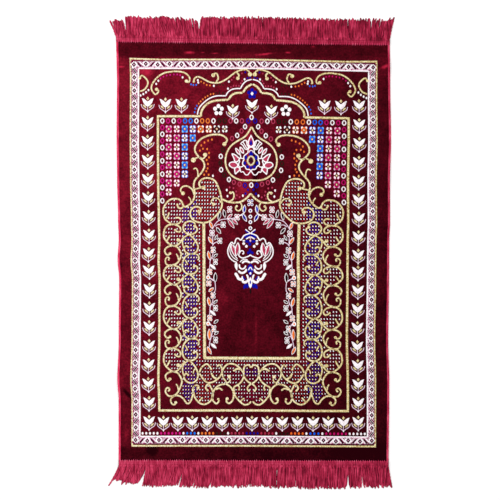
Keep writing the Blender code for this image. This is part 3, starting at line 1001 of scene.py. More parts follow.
@dataclass(frozen=True)
class SideScrolls:
    """The scrolls beside the medallion, and the round lobes at their foot."""

    scrolls: tuple[Stroke, ...] = (
        Stroke(((29.2, 107.8), (26.5, 111.7), (29.2, 115.5), (35.3, 117.4), (44.5, 116.6), (52.1, 113.2),
                (57.5, 107.1), (58.6, 101.0), (55.2, 95.6), (50.6, 91.0), (49.1, 85.7), (51.4, 80.3),
                (55.2, 75.7), (59.0, 71.0), (59.8, 65.3), (58.7, 59.0), (59.7, 53.4), (61.9, 49.6),
                (65.3, 46.6), (68.3, 45.1), (70.3, 46.8), (71.9, 50.1), (74.2, 52.3), (77.5, 53.2),
                (82.5, 52.6), (86.4, 49.8), (89.2, 45.7), (90.3, 41.8), (89.7, 36.2), (87.5, 31.8),
                (82.5, 28.4)), 2.0, first_knob=2.1),
        Stroke(((55.0, 95.4), (51.6, 93.4), (49.0, 94.4), (48.5, 97.1)), 1.7, last_knob=2.2),
        Stroke(((55.6, 94.6), (58.0, 93.6), (60.2, 91.9)), 1.6, last_knob=2.5),
        Stroke(((60.5, 82.6), (57.6, 83.8), (55.8, 80.5), (55.6, 75.9)), 1.5),
        Stroke(((50.0, 64.4), (53.6, 65.4), (54.2, 69.6), (50.6, 73.2), (45.2, 73.9), (39.1, 71.4),
                (35.0, 64.2), (32.0, 53.0), (32.0, 44.9), (37.1, 36.7), (44.2, 30.6), (50.8, 29.2),
                (56.4, 30.1), (60.3, 32.1), (62.8, 35.7), (63.3, 39.6), (61.9, 42.9), (58.6, 45.1),
                (54.7, 44.8), (52.5, 42.3), (54.2, 40.2)), 2.0, first_knob=2.0, last_knob=2.2),
        Stroke(((59.0, 62.8), (55.0, 63.6), (51.4, 64.4)), 1.6),
        Stroke(((32.6, 49.0), (35.2, 53.2), (39.6, 53.8), (42.4, 50.4), (39.8, 47.6)), 1.5, last_knob=1.7),
        Stroke(((70.6, 58.6), (73.0, 61.6), (71.0, 65.2), (66.4, 65.8), (61.6, 62.8), (59.2, 57.0)), 1.8,
               first_knob=2.0),
        Stroke(((69.7, 45.7), (72.5, 43.7), (75.0, 44.3), (76.3, 47.3)), 2.1, last_knob=1.2),
        Stroke(((80.3, 27.6), (76.4, 28.0), (74.0, 29.2), (72.6, 31.4), (74.2, 34.1), (77.2, 34.2)), 1.8,
               last_knob=1.0),
        Stroke(((84.4, 39.8), (85.4, 36.2), (87.4, 33.0)), 1.9),
        Stroke(((65.3, 55.3), (63.2, 52.6), (62.4, 49.2)), 1.4),
    )
    beads: tuple[Beads, ...] = (
        Beads(Yarn.ORANGE, ((41.6, 112.4), (45.4, 111.3), (49.1, 109.4), (52.3, 106.5), (50.6, 103.2),
                            (53.7, 101.3), (46.4, 102.9), (44.5, 99.0), (44.6, 94.5), (46.9, 91.9),
                            (45.6, 88.0), (46.0, 83.5), (47.2, 80.7), (49.4, 77.2), (44.9, 77.2)),
              (1.9, 2.5)),
        Beads(Yarn.WHITE, ((40.6, 76.1), (26.8, 61.9), (26.1, 55.8), (10.7, 56.3)), (2.0, 2.8)),
        Beads(Yarn.ROSE, ((23.9, 64.6), (20.1, 63.9), (17.4, 60.4), (16.7, 56.7), (18.1, 53.6), (13.9, 54.8)),
              (1.9, 2.3)),
        Beads(Yarn.NAVY, ((5.6, 62.2), (8.1, 58.3)), (2.2, 2.8)),
    )
    pelmet: tuple[Stroke, ...] = (
        Stroke(((31.6, 53.0), (27.6, 51.0), (23.5, 49.8), (19.1, 49.3), (13.5, 49.9), (9.7, 51.8),
                (6.6, 54.2), (2.6, 58.6)), 2.1),
        Stroke(((24.6, 50.4), (20.8, 52.6), (19.5, 56.2), (20.6, 59.8), (23.0, 59.2)), 1.8, last_knob=1.5),
        Stroke(((13.2, 49.4), (11.7, 46.2), (12.4, 43.1), (15.0, 41.1), (17.5, 42.4), (18.2, 44.6),
                (16.8, 45.8)), 1.6, last_knob=1.2),
    )

    def weave(self, loom: Loom) -> None:
        """Weaves the scrolls, their beads and the pelmet that hangs between them."""
        loom.group = "scrolls"
        loom.draw(self.scrolls)
        loom.draw(self.pelmet)
        loom.draw(self.beads)


@dataclass(frozen=True)
class Links:
    """A figure that a column repeats, each time stretched between two heights."""

    height: float
    spans: tuple[tuple[float, float], ...]
    strokes: tuple[Stroke, ...]

    def weave(self, loom: Loom) -> None:
        """Weaves the figure once for each span."""
        for top, bottom in self.spans:
            for drawn in self.strokes:
                points = [self.stretched(point, top, bottom) for point in drawn.points]
                loom.stroke(replace(drawn, points=tuple(points)))

    def stretched(self, point: Point, top: float, bottom: float) -> Point:
        """A point of the figure between two heights."""
        return point[0], top + point[1] * (top - bottom) / self.height


@dataclass(frozen=True)
class Columns:
    """The scrolled columns beside the field, the field's gold line and the scrolls across its foot."""

    field_line: Points = ((49.8, 30.0), (49.6, 0.0), (49.4, -50.0), (49.1, -80.0), (48.9, -106.4))
    field_foot: Points = ((50.4, -105.9), (25.0, -106.1), (-0.6, -106.3))
    line: float = 3.3
    lobes: Links = Links(21.8, ((27.9, 6.1), (-13.2, -32.6), (-53.8, -77.1), (-96.1, -119.6)), (
        Stroke(((79.5, -0.2), (83.5, -0.6), (86.4, -1.8), (88.8, -5.0), (89.8, -9.5), (89.4, -13.5),
                (87.2, -17.2), (83.6, -20.2), (80.6, -21.8)), 2.0),
        Stroke(((79.5, -0.2), (74.7, -2.2), (72.8, -5.3), (74.0, -7.8), (76.4, -7.6), (78.4, -5.8)), 1.9,
               last_knob=1.1),
        Stroke(((80.6, -21.8), (76.4, -21.0), (73.4, -18.4), (71.6, -15.6), (68.6, -12.0)), 1.8),
        Stroke(((75.3, -15.8), (72.6, -17.2)), 1.6, first_knob=1.9),
        Stroke(((83.5, -11.0), (85.2, -14.4), (86.8, -16.8)), 1.8),
    ))
    hooks: Links = Links(19.3, ((6.1, -13.2), (-32.6, -53.8), (-77.1, -96.1)), (
        Stroke(((80.8, 0.1), (84.2, -0.3), (87.8, -2.6), (88.8, -5.5), (87.4, -8.3), (85.2, -9.0),
                (83.6, -7.6)), 1.9, last_knob=1.4),
        Stroke(((80.8, 0.1), (76.9, -0.8), (74.2, -3.9), (72.5, -7.8), (73.0, -11.7), (75.0, -15.5),
                (78.0, -18.3), (81.9, -19.3)), 1.9),
        Stroke(((81.9, -19.3), (86.2, -19.0), (88.0, -16.2), (88.0, -13.0), (86.0, -11.2), (84.2, -12.4),
                (84.8, -13.8)), 1.7, last_knob=1.0),
        Stroke(((77.4, -7.8), (75.7, -10.6), (74.9, -14.6)), 1.6),
    ))
    buds: Links = Links(19.2, ((17.3, -1.9), (-21.9, -42.6), (-65.7, -86.8), (-108.3, -130.8)),
                        (Stroke(((64.4, 0.2), (60.3, -3.4), (57.2, -7.3), (55.5, -12.3), (56.9, -16.7),
                                 (60.3, -18.9), (64.2, -19.1), (67.5, -17.6), (69.4, -15.0), (69.0, -12.4),
                                 (67.0, -11.3), (65.4, -12.4)), 1.9, last_knob=1.1), Stroke(((64.6, 0.2),
                                                                                             (68.6, -2.3),
                                                                                             (70.8, -5.6),
                                                                                             (70.8, -10.1),
                                                                                             (69.2, -14.4)),
                                                                                            1.6),
                         Stroke(((57.6, -6.5), (59.7, -8.6), (60.2, -11.4)), 1.3)))
    coils: Links = Links(20.0, ((-1.9, -21.9), (-42.6, -65.7), (-86.8, -108.3)), (Stroke(((64.0, 0.0),
                                                                                          (68.3, -3.1),
                                                                                          (70.4, -7.0),
                                                                                          (71.1, -11.4),
                                                                                          (70.3, -15.9),
                                                                                          (67.5, -19.2),
                                                                                          (63.6, -20.2),
                                                                                          (59.7, -19.5),
                                                                                          (56.7, -17.0),
                                                                                          (56.1, -13.9),
                                                                                          (57.8, -11.8),
                                                                                          (59.6, -12.8)), 1.9,
                                                                                         last_knob=1.3),
                                                                                  Stroke(((64.0, 0.0),
                                                                                          (60.3, -0.1),
                                                                                          (57.4, -0.2),
                                                                                          (54.9, -2.0),
                                                                                          (54.7, -4.8),
                                                                                          (56.1, -6.4)), 1.6),
                                                                                  Stroke(((68.3, -5.9),
                                                                                          (67.0, -8.4),
                                                                                          (65.8, -10.9)),
                                                                                         1.5)))
    first_coil: Stroke = Stroke(((58.8, 25.8), (56.6, 23.8), (57.0, 20.6), (60.3, 18.2), (65.3, 17.9),
                                 (69.2, 20.7), (70.4, 25.0), (68.0, 29.3), (63.6, 30.8), (59.7, 29.4),
                                 (58.0, 27.4)), 1.9, first_knob=1.6)
    foot: tuple[Stroke, ...] = (
        Stroke(((80.8, -119.4), (85.3, -120.6), (88.0, -123.3), (87.5, -126.7), (85.2, -129.0),
                (83.6, -127.0)), 1.9, last_knob=1.6),
        Stroke(((80.8, -119.4), (76.4, -120.6), (73.6, -123.9), (71.9, -127.8), (71.8, -131.1),
                (73.6, -136.1), (76.4, -141.1), (80.3, -143.8), (84.7, -143.9), (87.5, -141.1),
                (88.0, -137.8), (85.8, -135.6), (83.9, -137.0), (84.8, -138.7)), 1.9, last_knob=1.0),
        Stroke(((77.5, -131.8), (75.8, -134.4), (75.3, -138.0)), 1.6),
        Stroke(((79.4, -143.9), (82.2, -146.2), (82.8, -149.2), (81.2, -152.0), (78.9, -152.6),
                (77.8, -150.4)), 1.8, last_knob=1.5),
        Stroke(((80.3, -143.8), (76.4, -143.4), (73.0, -144.4), (69.7, -147.2), (67.5, -150.6),
                (65.3, -151.5), (63.0, -149.4), (61.4, -145.0), (60.4, -141.1), (60.8, -136.7),
                (58.6, -133.6)), 1.9),
        Stroke(((60.6, -137.0), (59.2, -134.2), (57.0, -133.2), (54.7, -134.2), (55.6, -136.0)), 1.8,
               last_knob=1.6),
        Stroke(((60.2, -139.0), (59.7, -141.6), (58.6, -145.6), (55.8, -149.4), (52.5, -151.7),
                (48.6, -152.2), (44.7, -150.4), (41.9, -147.2), (40.6, -143.0), (40.9, -138.9),
                (42.5, -135.6), (44.4, -132.6), (46.9, -133.2), (47.8, -136.1), (46.1, -138.2)), 1.9,
               last_knob=1.2),
        Stroke(((50.8, -145.0), (53.0, -147.6), (54.6, -149.4)), 1.8),
        Stroke(((54.2, -120.6), (52.6, -116.4), (49.7, -113.3), (46.4, -112.0), (43.9, -114.4),
                (42.4, -117.0)), 1.9, last_knob=1.1),
        Stroke(((54.0, -121.4), (51.4, -125.6), (48.6, -128.9), (45.0, -130.8), (40.8, -130.0),
                (36.9, -127.8), (33.6, -124.4), (31.7, -121.0), (31.4, -117.6), (32.6, -114.2),
                (34.2, -112.6), (36.1, -114.0)), 1.9, last_knob=1.0),
        Stroke(((41.8, -121.8), (40.0, -125.0), (36.4, -127.0)), 2.4, first_knob=1.0),
        Stroke(((31.4, -119.4), (29.2, -115.0), (25.8, -112.2), (21.9, -111.7), (18.0, -112.8),
                (14.7, -115.2), (11.4, -118.9), (9.8, -121.7), (10.3, -126.1), (12.5, -130.0),
                (15.8, -132.8), (19.7, -135.4), (19.3, -140.0), (18.6, -143.3), (15.8, -147.2),
                (12.5, -150.6), (8.6, -152.8), (4.7, -151.7), (2.4, -149.2)), 1.9),
        Stroke(((31.6, -120.4), (30.3, -125.6), (28.0, -128.9), (26.2, -131.6)), 1.7),
        Stroke(((24.4, -124.6), (23.4, -128.2), (26.0, -131.0)), 1.6, first_knob=1.8),
        Stroke(((19.6, -118.6), (16.4, -116.8), (12.6, -117.6)), 2.2, first_knob=1.0),
        Stroke(((9.8, -121.0), (9.6, -115.6), (7.5, -113.3), (4.4, -113.2), (2.8, -115.8)), 1.9),
        Stroke(((9.6, -122.0), (9.0, -125.4), (6.9, -128.3), (4.2, -130.6), (2.2, -131.2)), 1.8),
        Stroke(((15.6, -133.0), (14.2, -135.6), (14.7, -137.6)), 1.6, last_knob=1.0),
        Stroke(((2.2, -131.8), (4.7, -133.6), (6.4, -136.7), (4.8, -138.6)), 1.7, last_knob=1.2),
        Stroke(((9.2, -146.0), (11.9, -148.0), (13.0, -149.8)), 1.7),
        Stroke(((28.0, -131.9), (33.6, -132.9), (38.0, -136.1), (40.3, -140.0), (41.4, -144.4),
                (40.3, -148.9), (37.2, -151.6), (34.7, -149.0), (35.3, -147.0)), 1.9, last_knob=1.2),
        Stroke(((28.0, -131.9), (25.8, -132.8), (22.5, -135.6), (20.6, -138.9), (19.9, -143.3),
                (20.8, -147.8), (23.6, -151.0), (26.0, -150.8), (27.5, -148.3), (26.4, -146.7)), 1.9,
               last_knob=1.6),
        Stroke(((38.4, -137.6), (34.2, -136.2), (30.8, -138.4)), 1.9),
    )

    def weave(self, loom: Loom) -> None:
        """Weaves the gold lines."""
        loom.group = "columns"
        loom.stroke(Stroke(self.field_line, self.line))
        for side in BOTH:
            loom.stroke(Stroke(self.field_foot, self.line), Lay((side,), level=LAP * side))
        loom.stroke(self.first_coil)
        for links in (self.lobes, self.hooks, self.buds, self.coils):
            links.weave(loom)
        loom.draw(self.foot)


@dataclass(frozen=True)
class Lattice:
    """The net of white dots, with a coloured one in each of its cells, that fills the columns."""

    pitch: Point = (2.784, 3.572)
    start: Point = (3.7, 48.1)
    lean: float = 0.0026
    left_edge: Points = (
        (58.7, 61.0), (58.7, 57.0), (59.7, 53.4), (61.9, 49.6), (65.3, 46.6), (68.3, 45.1), (70.3, 46.8),
        (71.9, 50.1), (74.2, 52.3), (77.5, 53.2), (82.5, 52.6), (86.4, 49.8), (89.2, 45.7), (90.3, 41.8),
        (89.7, 36.2), (87.5, 31.8), (82.5, 28.4),
    )
    foot_edge: Points = (
        (73.6, -123.9), (71.9, -127.8), (71.8, -131.1), (73.6, -136.1), (76.4, -142.0), (73.0, -144.4),
        (69.7, -147.2), (67.5, -150.6), (65.3, -151.5), (63.0, -149.4), (61.4, -145.0), (60.0, -140.0),
        (58.6, -145.6), (55.8, -149.4), (52.5, -151.7), (48.6, -152.2), (44.7, -150.4), (41.9, -147.2),
        (41.0, -143.0), (40.3, -140.0), (38.0, -136.1), (33.6, -132.9), (28.0, -131.9), (25.8, -132.8),
        (22.5, -135.6), (20.6, -138.9), (18.6, -143.3), (15.8, -147.2), (12.5, -150.6), (8.6, -152.8),
        (4.7, -151.7), (2.4, -149.2),
    )
    right_edge: Points = (
        (0.9, -149.2), (0.9, -108.5), (51.0, -108.5), (51.4, -60.0), (51.8, 30.0), (50.8, 30.0), (44.2, 30.6),
        (37.1, 36.7), (32.0, 44.9), (32.0, 53.0), (35.0, 64.2), (39.1, 71.4), (45.2, 73.9), (50.6, 73.2),
        (53.2, 69.0), (51.0, 62.0),
    )
    margin: float = 0.6
    foot_top: float = -109.0
    foot_share: float = 0.84
    plumb: float = -110.0
    rows: tuple[int, int] = (-16, 114)
    dots: tuple[int, int] = (-1, 32)

    def weave(self, loom: Loom, columns: Columns) -> None:
        """Weaves the dots between the columns' gold lines.

        Args:
            loom: the loom, with every gold line already woven.
            columns: the columns, whose outer lines are the net's left edge.
        """
        loom.group = "lattice"
        edge = list(self.left_edge)
        for lobe_span, hook_span in zip(columns.lobes.spans, (*columns.hooks.spans, None)):
            lobe, hook = columns.lobes.strokes[0], columns.hooks.strokes[1]
            edge += [columns.lobes.stretched(point, *lobe_span) for point in lobe.points]
            if hook_span:
                edge += [columns.hooks.stretched(point, *hook_span) for point in hook.points]
        edge += [*self.foot_edge, *self.right_edge]
        drawn = KDTree(len(loom.seen))
        for number, (place, _) in enumerate(loom.seen):
            drawn.insert((*place, 0), number)
        drawn.balance()
        for row in range(*self.rows):
            for column in range(*self.dots):
                half = 0.5 if row % 2 else 0.0
                v = self.start[1] - row * self.pitch[1] / 2
                u = self.start[0] + (column + half) * self.pitch[0] + self.lean * (v - self.plumb)
                _, number, distance = drawn.find((u, v, 0))
                if distance < loom.seen[number][1] + self.margin or not self.inside(edge, (u, v)):
                    continue
                small = self.foot_share if v < self.foot_top else 1.0
                if half:
                    loom.bead(self.tint(u, v), (u, v), (1.6 * small, 2.05 * small), segments=4)
                else:
                    loom.bead(Yarn.WHITE, (u, v), (1.25 * small, 1.9 * small), segments=6, turn=20)

    @staticmethod
    def inside(outline: Points, point: Point) -> bool:
        """Whether a point lies inside a closed outline."""
        u, v = point
        within = False
        for (u1, v1), (u2, v2) in zip(outline, (*outline[1:], outline[0])):
            if (v1 > v) != (v2 > v) and u < u1 + (v - v1) / (v2 - v1) * (u2 - u1):
                within = not within
        return within

    @staticmethod
    def tint(u: float, v: float) -> Yarn:
        """The colour of the dots between the white ones at a place."""
        if v < -111 and u < 40:
            return Yarn.NAVY if 2.6 < u < 9 and v > -122 else Yarn.CRIMSON
        if u > 70.6:
            return Yarn.CRIMSON
        if u > 57.4:
            return Yarn.COBALT
        return Yarn.RUST if v > 29 and u > 39 or v < -111 else Yarn.RED


@dataclass(frozen=True)
class Pendant:
    """The chain and the pendant that hang in the field."""

    middle: float = 3.2

    def weave(self, loom: Loom) -> None:
        """Weaves the chain and the pendant."""
        loom.group = "pendant"
        self.chain(loom)
        self.wings(loom)
        self.head(loom)
        self.foot(loom)

    def chain(self, loom: Loom) -> None:
        """Weaves the flower, the leaves and the rings of the chain."""
        middle = self.middle
        for across in (-1, 1):
            for up in (-1, 1):
                place = (middle + across * 1.6, 49.3 + up * 1.9)
                loom.bead(Yarn.WHITE, place, (3.0, 3.2), ONCE, segments=8)
                loom.bead(Yarn.NAVY, place, (1.9, 2.0), ONCE.over(1), segments=6)
        loom.bead(Yarn.WHITE, (middle, 49.3), (1.8, 2.6), ONCE.over(2), segments=4)
        loom.outlined(Yarn.COBALT, (9.8, 38.0), (8.8, 47.4), 3.9, rim=0.75)
        loom.outlined(Yarn.NAVY, (11.4, 38.8), (6.8, 30.2), 4.0, rim=0.7)
        loom.stroke(Stroke(((9.8, 38.6), (11.4, 37.4), (14.0, 36.4)), 1.4, Yarn.WHITE))
        for v in (41.2, 35.3, 29.9, 23.8):
            loom.ring(Yarn.WHITE, (middle, v), (4.2, 4.5), 1.35, ONCE)
            loom.bead(Yarn.NAVY, (middle, v), (1.2, 1.4), ONCE)
        for way in (-1, 1):
            loom.stroke(Stroke(((middle + way * 0.2, 18.8), (middle + way * 2.4, 20.4),
                                (middle + way * 5.0, 22.8)), 1.3, Yarn.WHITE), ONCE)
            loom.leaf(Yarn.NAVY, (middle + way * 0.8, 18.6), (middle + way * 5.6, 21.8), 2.0, ONCE)

    def wings(self, loom: Loom) -> None:
        """Weaves the nested wings with their two rose leaves."""
        loom.draw((Stroke(((3.2, 18.7), (6.6, 17.6), (9.7, 16.3), (11.4, 13.6), (13.0, 11.4)), 1.4,
                          Yarn.WHITE), Stroke(((13.0, 11.4), (13.9, 12.8), (16.0, 13.8), (17.8, 12.4),
                                               (18.6, 9.4), (19.8, 7.8), (21.8, 9.8), (24.2, 6.6),
                                               (25.7, 2.0), (25.3, -2.7), (22.9, -6.7), (19.6, -9.3),
                                               (16.6, -10.4)), 1.3, Yarn.WHITE), Stroke(((22.4, 7.8),
                                                                                         (23.7, 2.2),
                                                                                         (22.4, -2.7),
                                                                                         (19.2, -6.5),
                                                                                         (15.4, -8.6)), 0.9,
                                                                                        Yarn.WHITE),
                   Stroke(((20.2, 6.8), (18.0, 4.0), (17.6, 0.6), (18.6, -3.4), (16.0, -7.0)), 0.9,
                          Yarn.WHITE), Stroke(((15.6, 9.4), (14.0, 4.6), (14.0, -0.4), (14.8, -3.6),
                                               (11.4, -6.0), (7.8, -5.2), (4.6, -4.0), (3.2, -2.6)), 1.3,
                                              Yarn.WHITE), Stroke(((13.8, -1.0), (12.8, 1.0), (10.7, 1.2),
                                                                   (9.7, -1.0), (10.6, -1.8)), 1.2,
                                                                  Yarn.WHITE, last_knob=0.8)))
        loom.outlined(Yarn.ROSE, (18.6, -4.4), (22.2, 8.4), 4.4, rim=0.75)
        loom.outlined(Yarn.ROSE, (17.4, -4.4), (15.6, 9.8), 4.8, rim=0.75)

    def head(self, loom: Loom) -> None:
        """Weaves the dark blue flower under the arch."""
        middle = self.middle
        for way in (-1, 1):
            for points, width in ((((0.2, 17.2), (3.6, 15.9), (5.8, 13.8)), 2.9),
                                  (((1.0, 11.0), (3.4, 10.4), (4.8, 11.8)), 2.8),
                                  (((0.4, 0.4), (1.8, -0.8), (3.2, -1.6)), 2.8)):
                loom.stroke(Stroke([(middle + way * u, v) for u, v in points], width, Yarn.NAVY), ONCE)
            loom.stroke(Stroke([(middle + way * u, v) for u, v in ((0.0, 15.4), (2.2, 14.2), (4.4, 12.8))],
                               1.3, Yarn.WHITE), ONCE.over(1))
        loom.stroke(Stroke(((middle, 15.2), (middle, 13.0)), 1.8, Yarn.LILAC), ONCE.over(1))
        loom.bead(Yarn.LILAC, (middle, 11.4), (2.0, 3.0), ONCE.over(1), segments=4)
        loom.stroke(Stroke(((middle + 0.5, 9.6), (middle + 0.5, 6.2)), 3.2, Yarn.NAVY), ONCE)
        loom.stroke(Stroke(((middle + 0.4, 3.6), (middle + 0.4, -0.6)), 2.4, Yarn.NAVY), ONCE)
        for u, v, width, height in ((9.8, 11.2, 2.6, 1.8), (9.9, 8.4, 3.0, 2.8), (7.2, 5.7, 2.8, 3.0)):
            loom.bead(Yarn.WHITE, (u, v), (width, height), segments=8)
        loom.bead(Yarn.BLACK, (middle, -7.3), (4.2, 2.0), ONCE, segments=8)

    def foot(self, loom: Loom) -> None:
        """Weaves the curls, the diamond and the wings of the pendant's foot."""
        middle = self.middle
        loom.draw((Stroke(((13.6, -10.2), (11.6, -8.2), (8.6, -7.2), (5.8, -8.0)), 1.0, Yarn.WHITE),
                   Stroke(((11.6, -11.4), (9.2, -9.4), (6.2, -9.4), (3.4, -11.0)), 2.0, Yarn.WHITE),
                   Stroke(((17.2, -10.4), (17.4, -14.6), (16.4, -18.8)), 3.4, Yarn.WHITE, shape=Shape.DROP),
                   Stroke(((14.2, -12.2), (13.9, -15.3), (11.6, -17.0), (8.9, -15.9), (7.8, -13.4)), 1.6,
                          Yarn.WHITE), Stroke(((15.4, -18.6), (12.3, -21.0), (8.6, -19.9), (6.9, -16.8)), 2.3,
                                              Yarn.WHITE), Stroke(((18.6, -20.8), (16.6, -23.6),
                                                                   (15.0, -26.6), (12.8, -27.4),
                                                                   (10.6, -27.4)), 3.0, Yarn.WHITE),
                   Stroke(((11.2, -24.0), (10.8, -27.4), (10.8, -29.4), (8.8, -30.4), (6.6, -29.4),
                           (4.6, -27.4)), 2.6, Yarn.WHITE), Stroke(((7.1, -22.4), (5.9, -24.4), (5.3, -27.4)),
                                                                   1.9, Yarn.WHITE)))
        loom.stroke(Stroke(((10.1, -23.8), (9.8, -26.2), (7.8, -27.4)), 1.5, Yarn.NAVY), PAIR.over(1.5))
        loom.patch(Yarn.NAVY, ((middle, -11.6), (middle + 2.2, -13.8), (middle + 3.4, -17.4),
                               (middle + 2.0, -20.8), (middle, -25.0), (middle - 2.0, -20.8),
                               (middle - 3.4, -17.4), (middle - 2.2, -13.8)), ONCE)
        loom.stroke(Stroke(((middle + 2.0, -18.2), (middle, -15.0), (middle - 2.0, -18.2)), 1.3, Yarn.WHITE),
                    ONCE.over(1))
        loom.bead(Yarn.WHITE, (middle, -21.4), (2.2, 2.9), ONCE.over(1), segments=8)
        loom.leaf(Yarn.WHITE, (middle, -25.0), (middle, -36.4), 4.6, ONCE.over(1))
        loom.leaf(Yarn.NAVY, (middle, -28.0), (middle, -32.4), 1.9, ONCE.over(2))
        loom.leaf(Yarn.NAVY, (4.6, -31.0), (6.9, -36.6), 2.9)
        loom.leaf(Yarn.NAVY, (7.2, -31.4), (10.0, -37.0), 3.4)
        loom.leaf(Yarn.BLACK, (middle, -36.4), (middle, -42.0), 1.8, ONCE)


class Sprig(Enum):
    """The kinds of figure that the garland strings together; a mixed flower has black on its inner side."""

    LEAF = "leaf"
    FLOWER = "flower"
    MIXED = "mixed"
    BUD = "bud"


@dataclass(frozen=True)
class Growth:
    """A leaf of the garland from its foot to its tip, or a flower at its middle."""

    kind: Sprig
    foot: Point
    tip: Point
    yarn: Yarn
    width: float = 3.4


@dataclass(frozen=True)
class Garland:
    """The garland of leaves and flowers under the pelmet and down the field's sides."""

    period: float = 46.2
    corner: tuple[Growth, ...] = (
        Growth(Sprig.FLOWER, (24.0, 42.6), (5.2, 6.8), Yarn.ROSE),
        Growth(Sprig.FLOWER, (16.5, 34.8), (5.4, 6.6), Yarn.ROSE),
        Growth(Sprig.LEAF, (26.6, 33.4), (21.0, 38.2), Yarn.ROSE, 2.8),
        Growth(Sprig.LEAF, (22.2, 33.2), (15.6, 27.4), Yarn.ROSE, 3.2),
        Growth(Sprig.LEAF, (26.0, 33.2), (19.2, 23.6), Yarn.ROSE, 3.6),
        Growth(Sprig.LEAF, (28.4, 34.0), (30.0, 42.8), Yarn.BLACK, 3.2),
        Growth(Sprig.LEAF, (35.3, 31.8), (33.2, 40.8), Yarn.BLACK, 3.2),
        Growth(Sprig.FLOWER, (30.4, 27.3), (5.2, 6.4), Yarn.BLACK),
        Growth(Sprig.LEAF, (37.4, 25.0), (32.6, 18.2), Yarn.BLACK, 3.4),
        Growth(Sprig.LEAF, (41.2, 23.0), (43.7, 30.6), Yarn.ORANGE, 3.3),
        Growth(Sprig.FLOWER, (41.5, 18.9), (5.4, 6.8), Yarn.PLUM),
        Growth(Sprig.LEAF, (40.9, 8.0), (45.3, 15.4), Yarn.ORANGE, 3.4),
        Growth(Sprig.LEAF, (39.0, 11.6), (35.8, 17.6), Yarn.BLACK, 2.3),
        Growth(Sprig.FLOWER, (33.8, 11.2), (5.0, 6.2), Yarn.BLACK),
        Growth(Sprig.MIXED, (40.4, 2.2), (5.2, 6.6), Yarn.ORANGE),
    )
    side: tuple[Growth, ...] = (
        Growth(Sprig.LEAF, (43.6, -8.2), (45.5, 1.2), Yarn.ORANGE, 3.6),
        Growth(Sprig.LEAF, (40.3, -5.4), (35.9, -1.7), Yarn.BLACK, 2.7),
        Growth(Sprig.FLOWER, (38.1, -9.8), (4.8, 6.6), Yarn.BLACK),
        Growth(Sprig.LEAF, (43.8, -12.0), (37.8, -17.4), Yarn.WHITE, 3.0),
        Growth(Sprig.FLOWER, (43.8, -19.8), (5.2, 6.4), Yarn.ORANGE),
        Growth(Sprig.BUD, (45.4, -25.4), (4.2, 4.8), Yarn.ORANGE),
    )
    lower: tuple[Growth, ...] = (
        Growth(Sprig.LEAF, (38.6, -30.9), (38.1, -20.2), Yarn.BLACK, 3.7),
        Growth(Sprig.FLOWER, (44.8, -31.4), (5.2, 6.0), Yarn.ORANGE),
        Growth(Sprig.LEAF, (45.2, -39.8), (39.7, -35.6), Yarn.ORANGE, 3.2),
        Growth(Sprig.MIXED, (40.5, -43.4), (5.0, 6.4), Yarn.ORANGE),
    )
    foot: tuple[Growth, ...] = (
        Growth(Sprig.LEAF, (40.0, -71.4), (35.2, -67.6), Yarn.BLACK, 3.0),
        Growth(Sprig.MIXED, (39.7, -76.7), (4.8, 7.2), Yarn.ORANGE),
        Growth(Sprig.LEAF, (44.3, -88.4), (44.3, -76.6), Yarn.ORANGE, 3.8),
        Growth(Sprig.LEAF, (39.5, -82.8), (35.0, -79.3), Yarn.BLACK, 2.8),
        Growth(Sprig.FLOWER, (38.0, -88.0), (4.8, 7.0), Yarn.BLACK),
        Growth(Sprig.LEAF, (43.2, -91.2), (37.0, -96.4), Yarn.WHITE, 3.1),
        Growth(Sprig.LEAF, (46.4, -94.2), (42.2, -102.4), Yarn.ORANGE, 3.4),
    )
    stems: tuple[Stroke, ...] = (
        Stroke(((14.4, 36.2), (20.0, 33.8), (26.5, 33.1), (30.9, 32.6), (35.4, 31.0), (38.2, 28.0),
                (39.8, 25.6), (41.4, 22.6)), 0.9, Yarn.PALE),
        Stroke(((38.6, 25.6), (35.4, 27.6), (32.8, 27.2)), 0.85, Yarn.PALE),
        Stroke(((40.8, 7.0), (38.7, 9.2), (35.4, 10.4)), 0.85, Yarn.PALE),
        Stroke(((41.0, 16.0), (40.8, 12.0), (40.8, 6.0)), 0.85, Yarn.PALE),
        Stroke(((38.5, -30.4), (38.1, -35.0), (38.4, -38.7), (40.0, -41.0)), 0.85, Yarn.PALE),
    )
    side_stems: tuple[Stroke, ...] = (
        Stroke(((40.6, 0.0), (41.0, -4.0), (43.4, -8.6), (43.6, -12.6), (44.0, -17.2)), 0.85, Yarn.PALE),
        Stroke(((41.4, -5.6), (39.6, -8.2)), 0.85, Yarn.PALE),
        Stroke(((44.4, -26.0), (41.8, -27.2), (39.6, -28.8)), 1.3, Yarn.PALE),
    )
    foot_stems: tuple[Stroke, ...] = (
        Stroke(((41.6, -73.6), (43.6, -71.4)), 0.85, Yarn.PALE),
        Stroke(((41.2, -79.6), (42.2, -84.4), (43.8, -90.2), (44.4, -95.4)), 0.85, Yarn.PALE),
        Stroke(((42.4, -84.4), (39.4, -84.0)), 0.85, Yarn.PALE),
    )

    def weave(self, loom: Loom) -> None:
        """Weaves the garland."""
        loom.group = "garland"
        loom.draw(self.stems)
        loom.draw(self.foot_stems)
        for down in (0.0, -self.period):
            for drawn in self.side_stems:
                loom.stroke(drawn, at=(0, down))
            self.grow(loom, self.side, down)
        self.grow(loom, (*self.corner, *self.lower, *self.foot), 0.0)

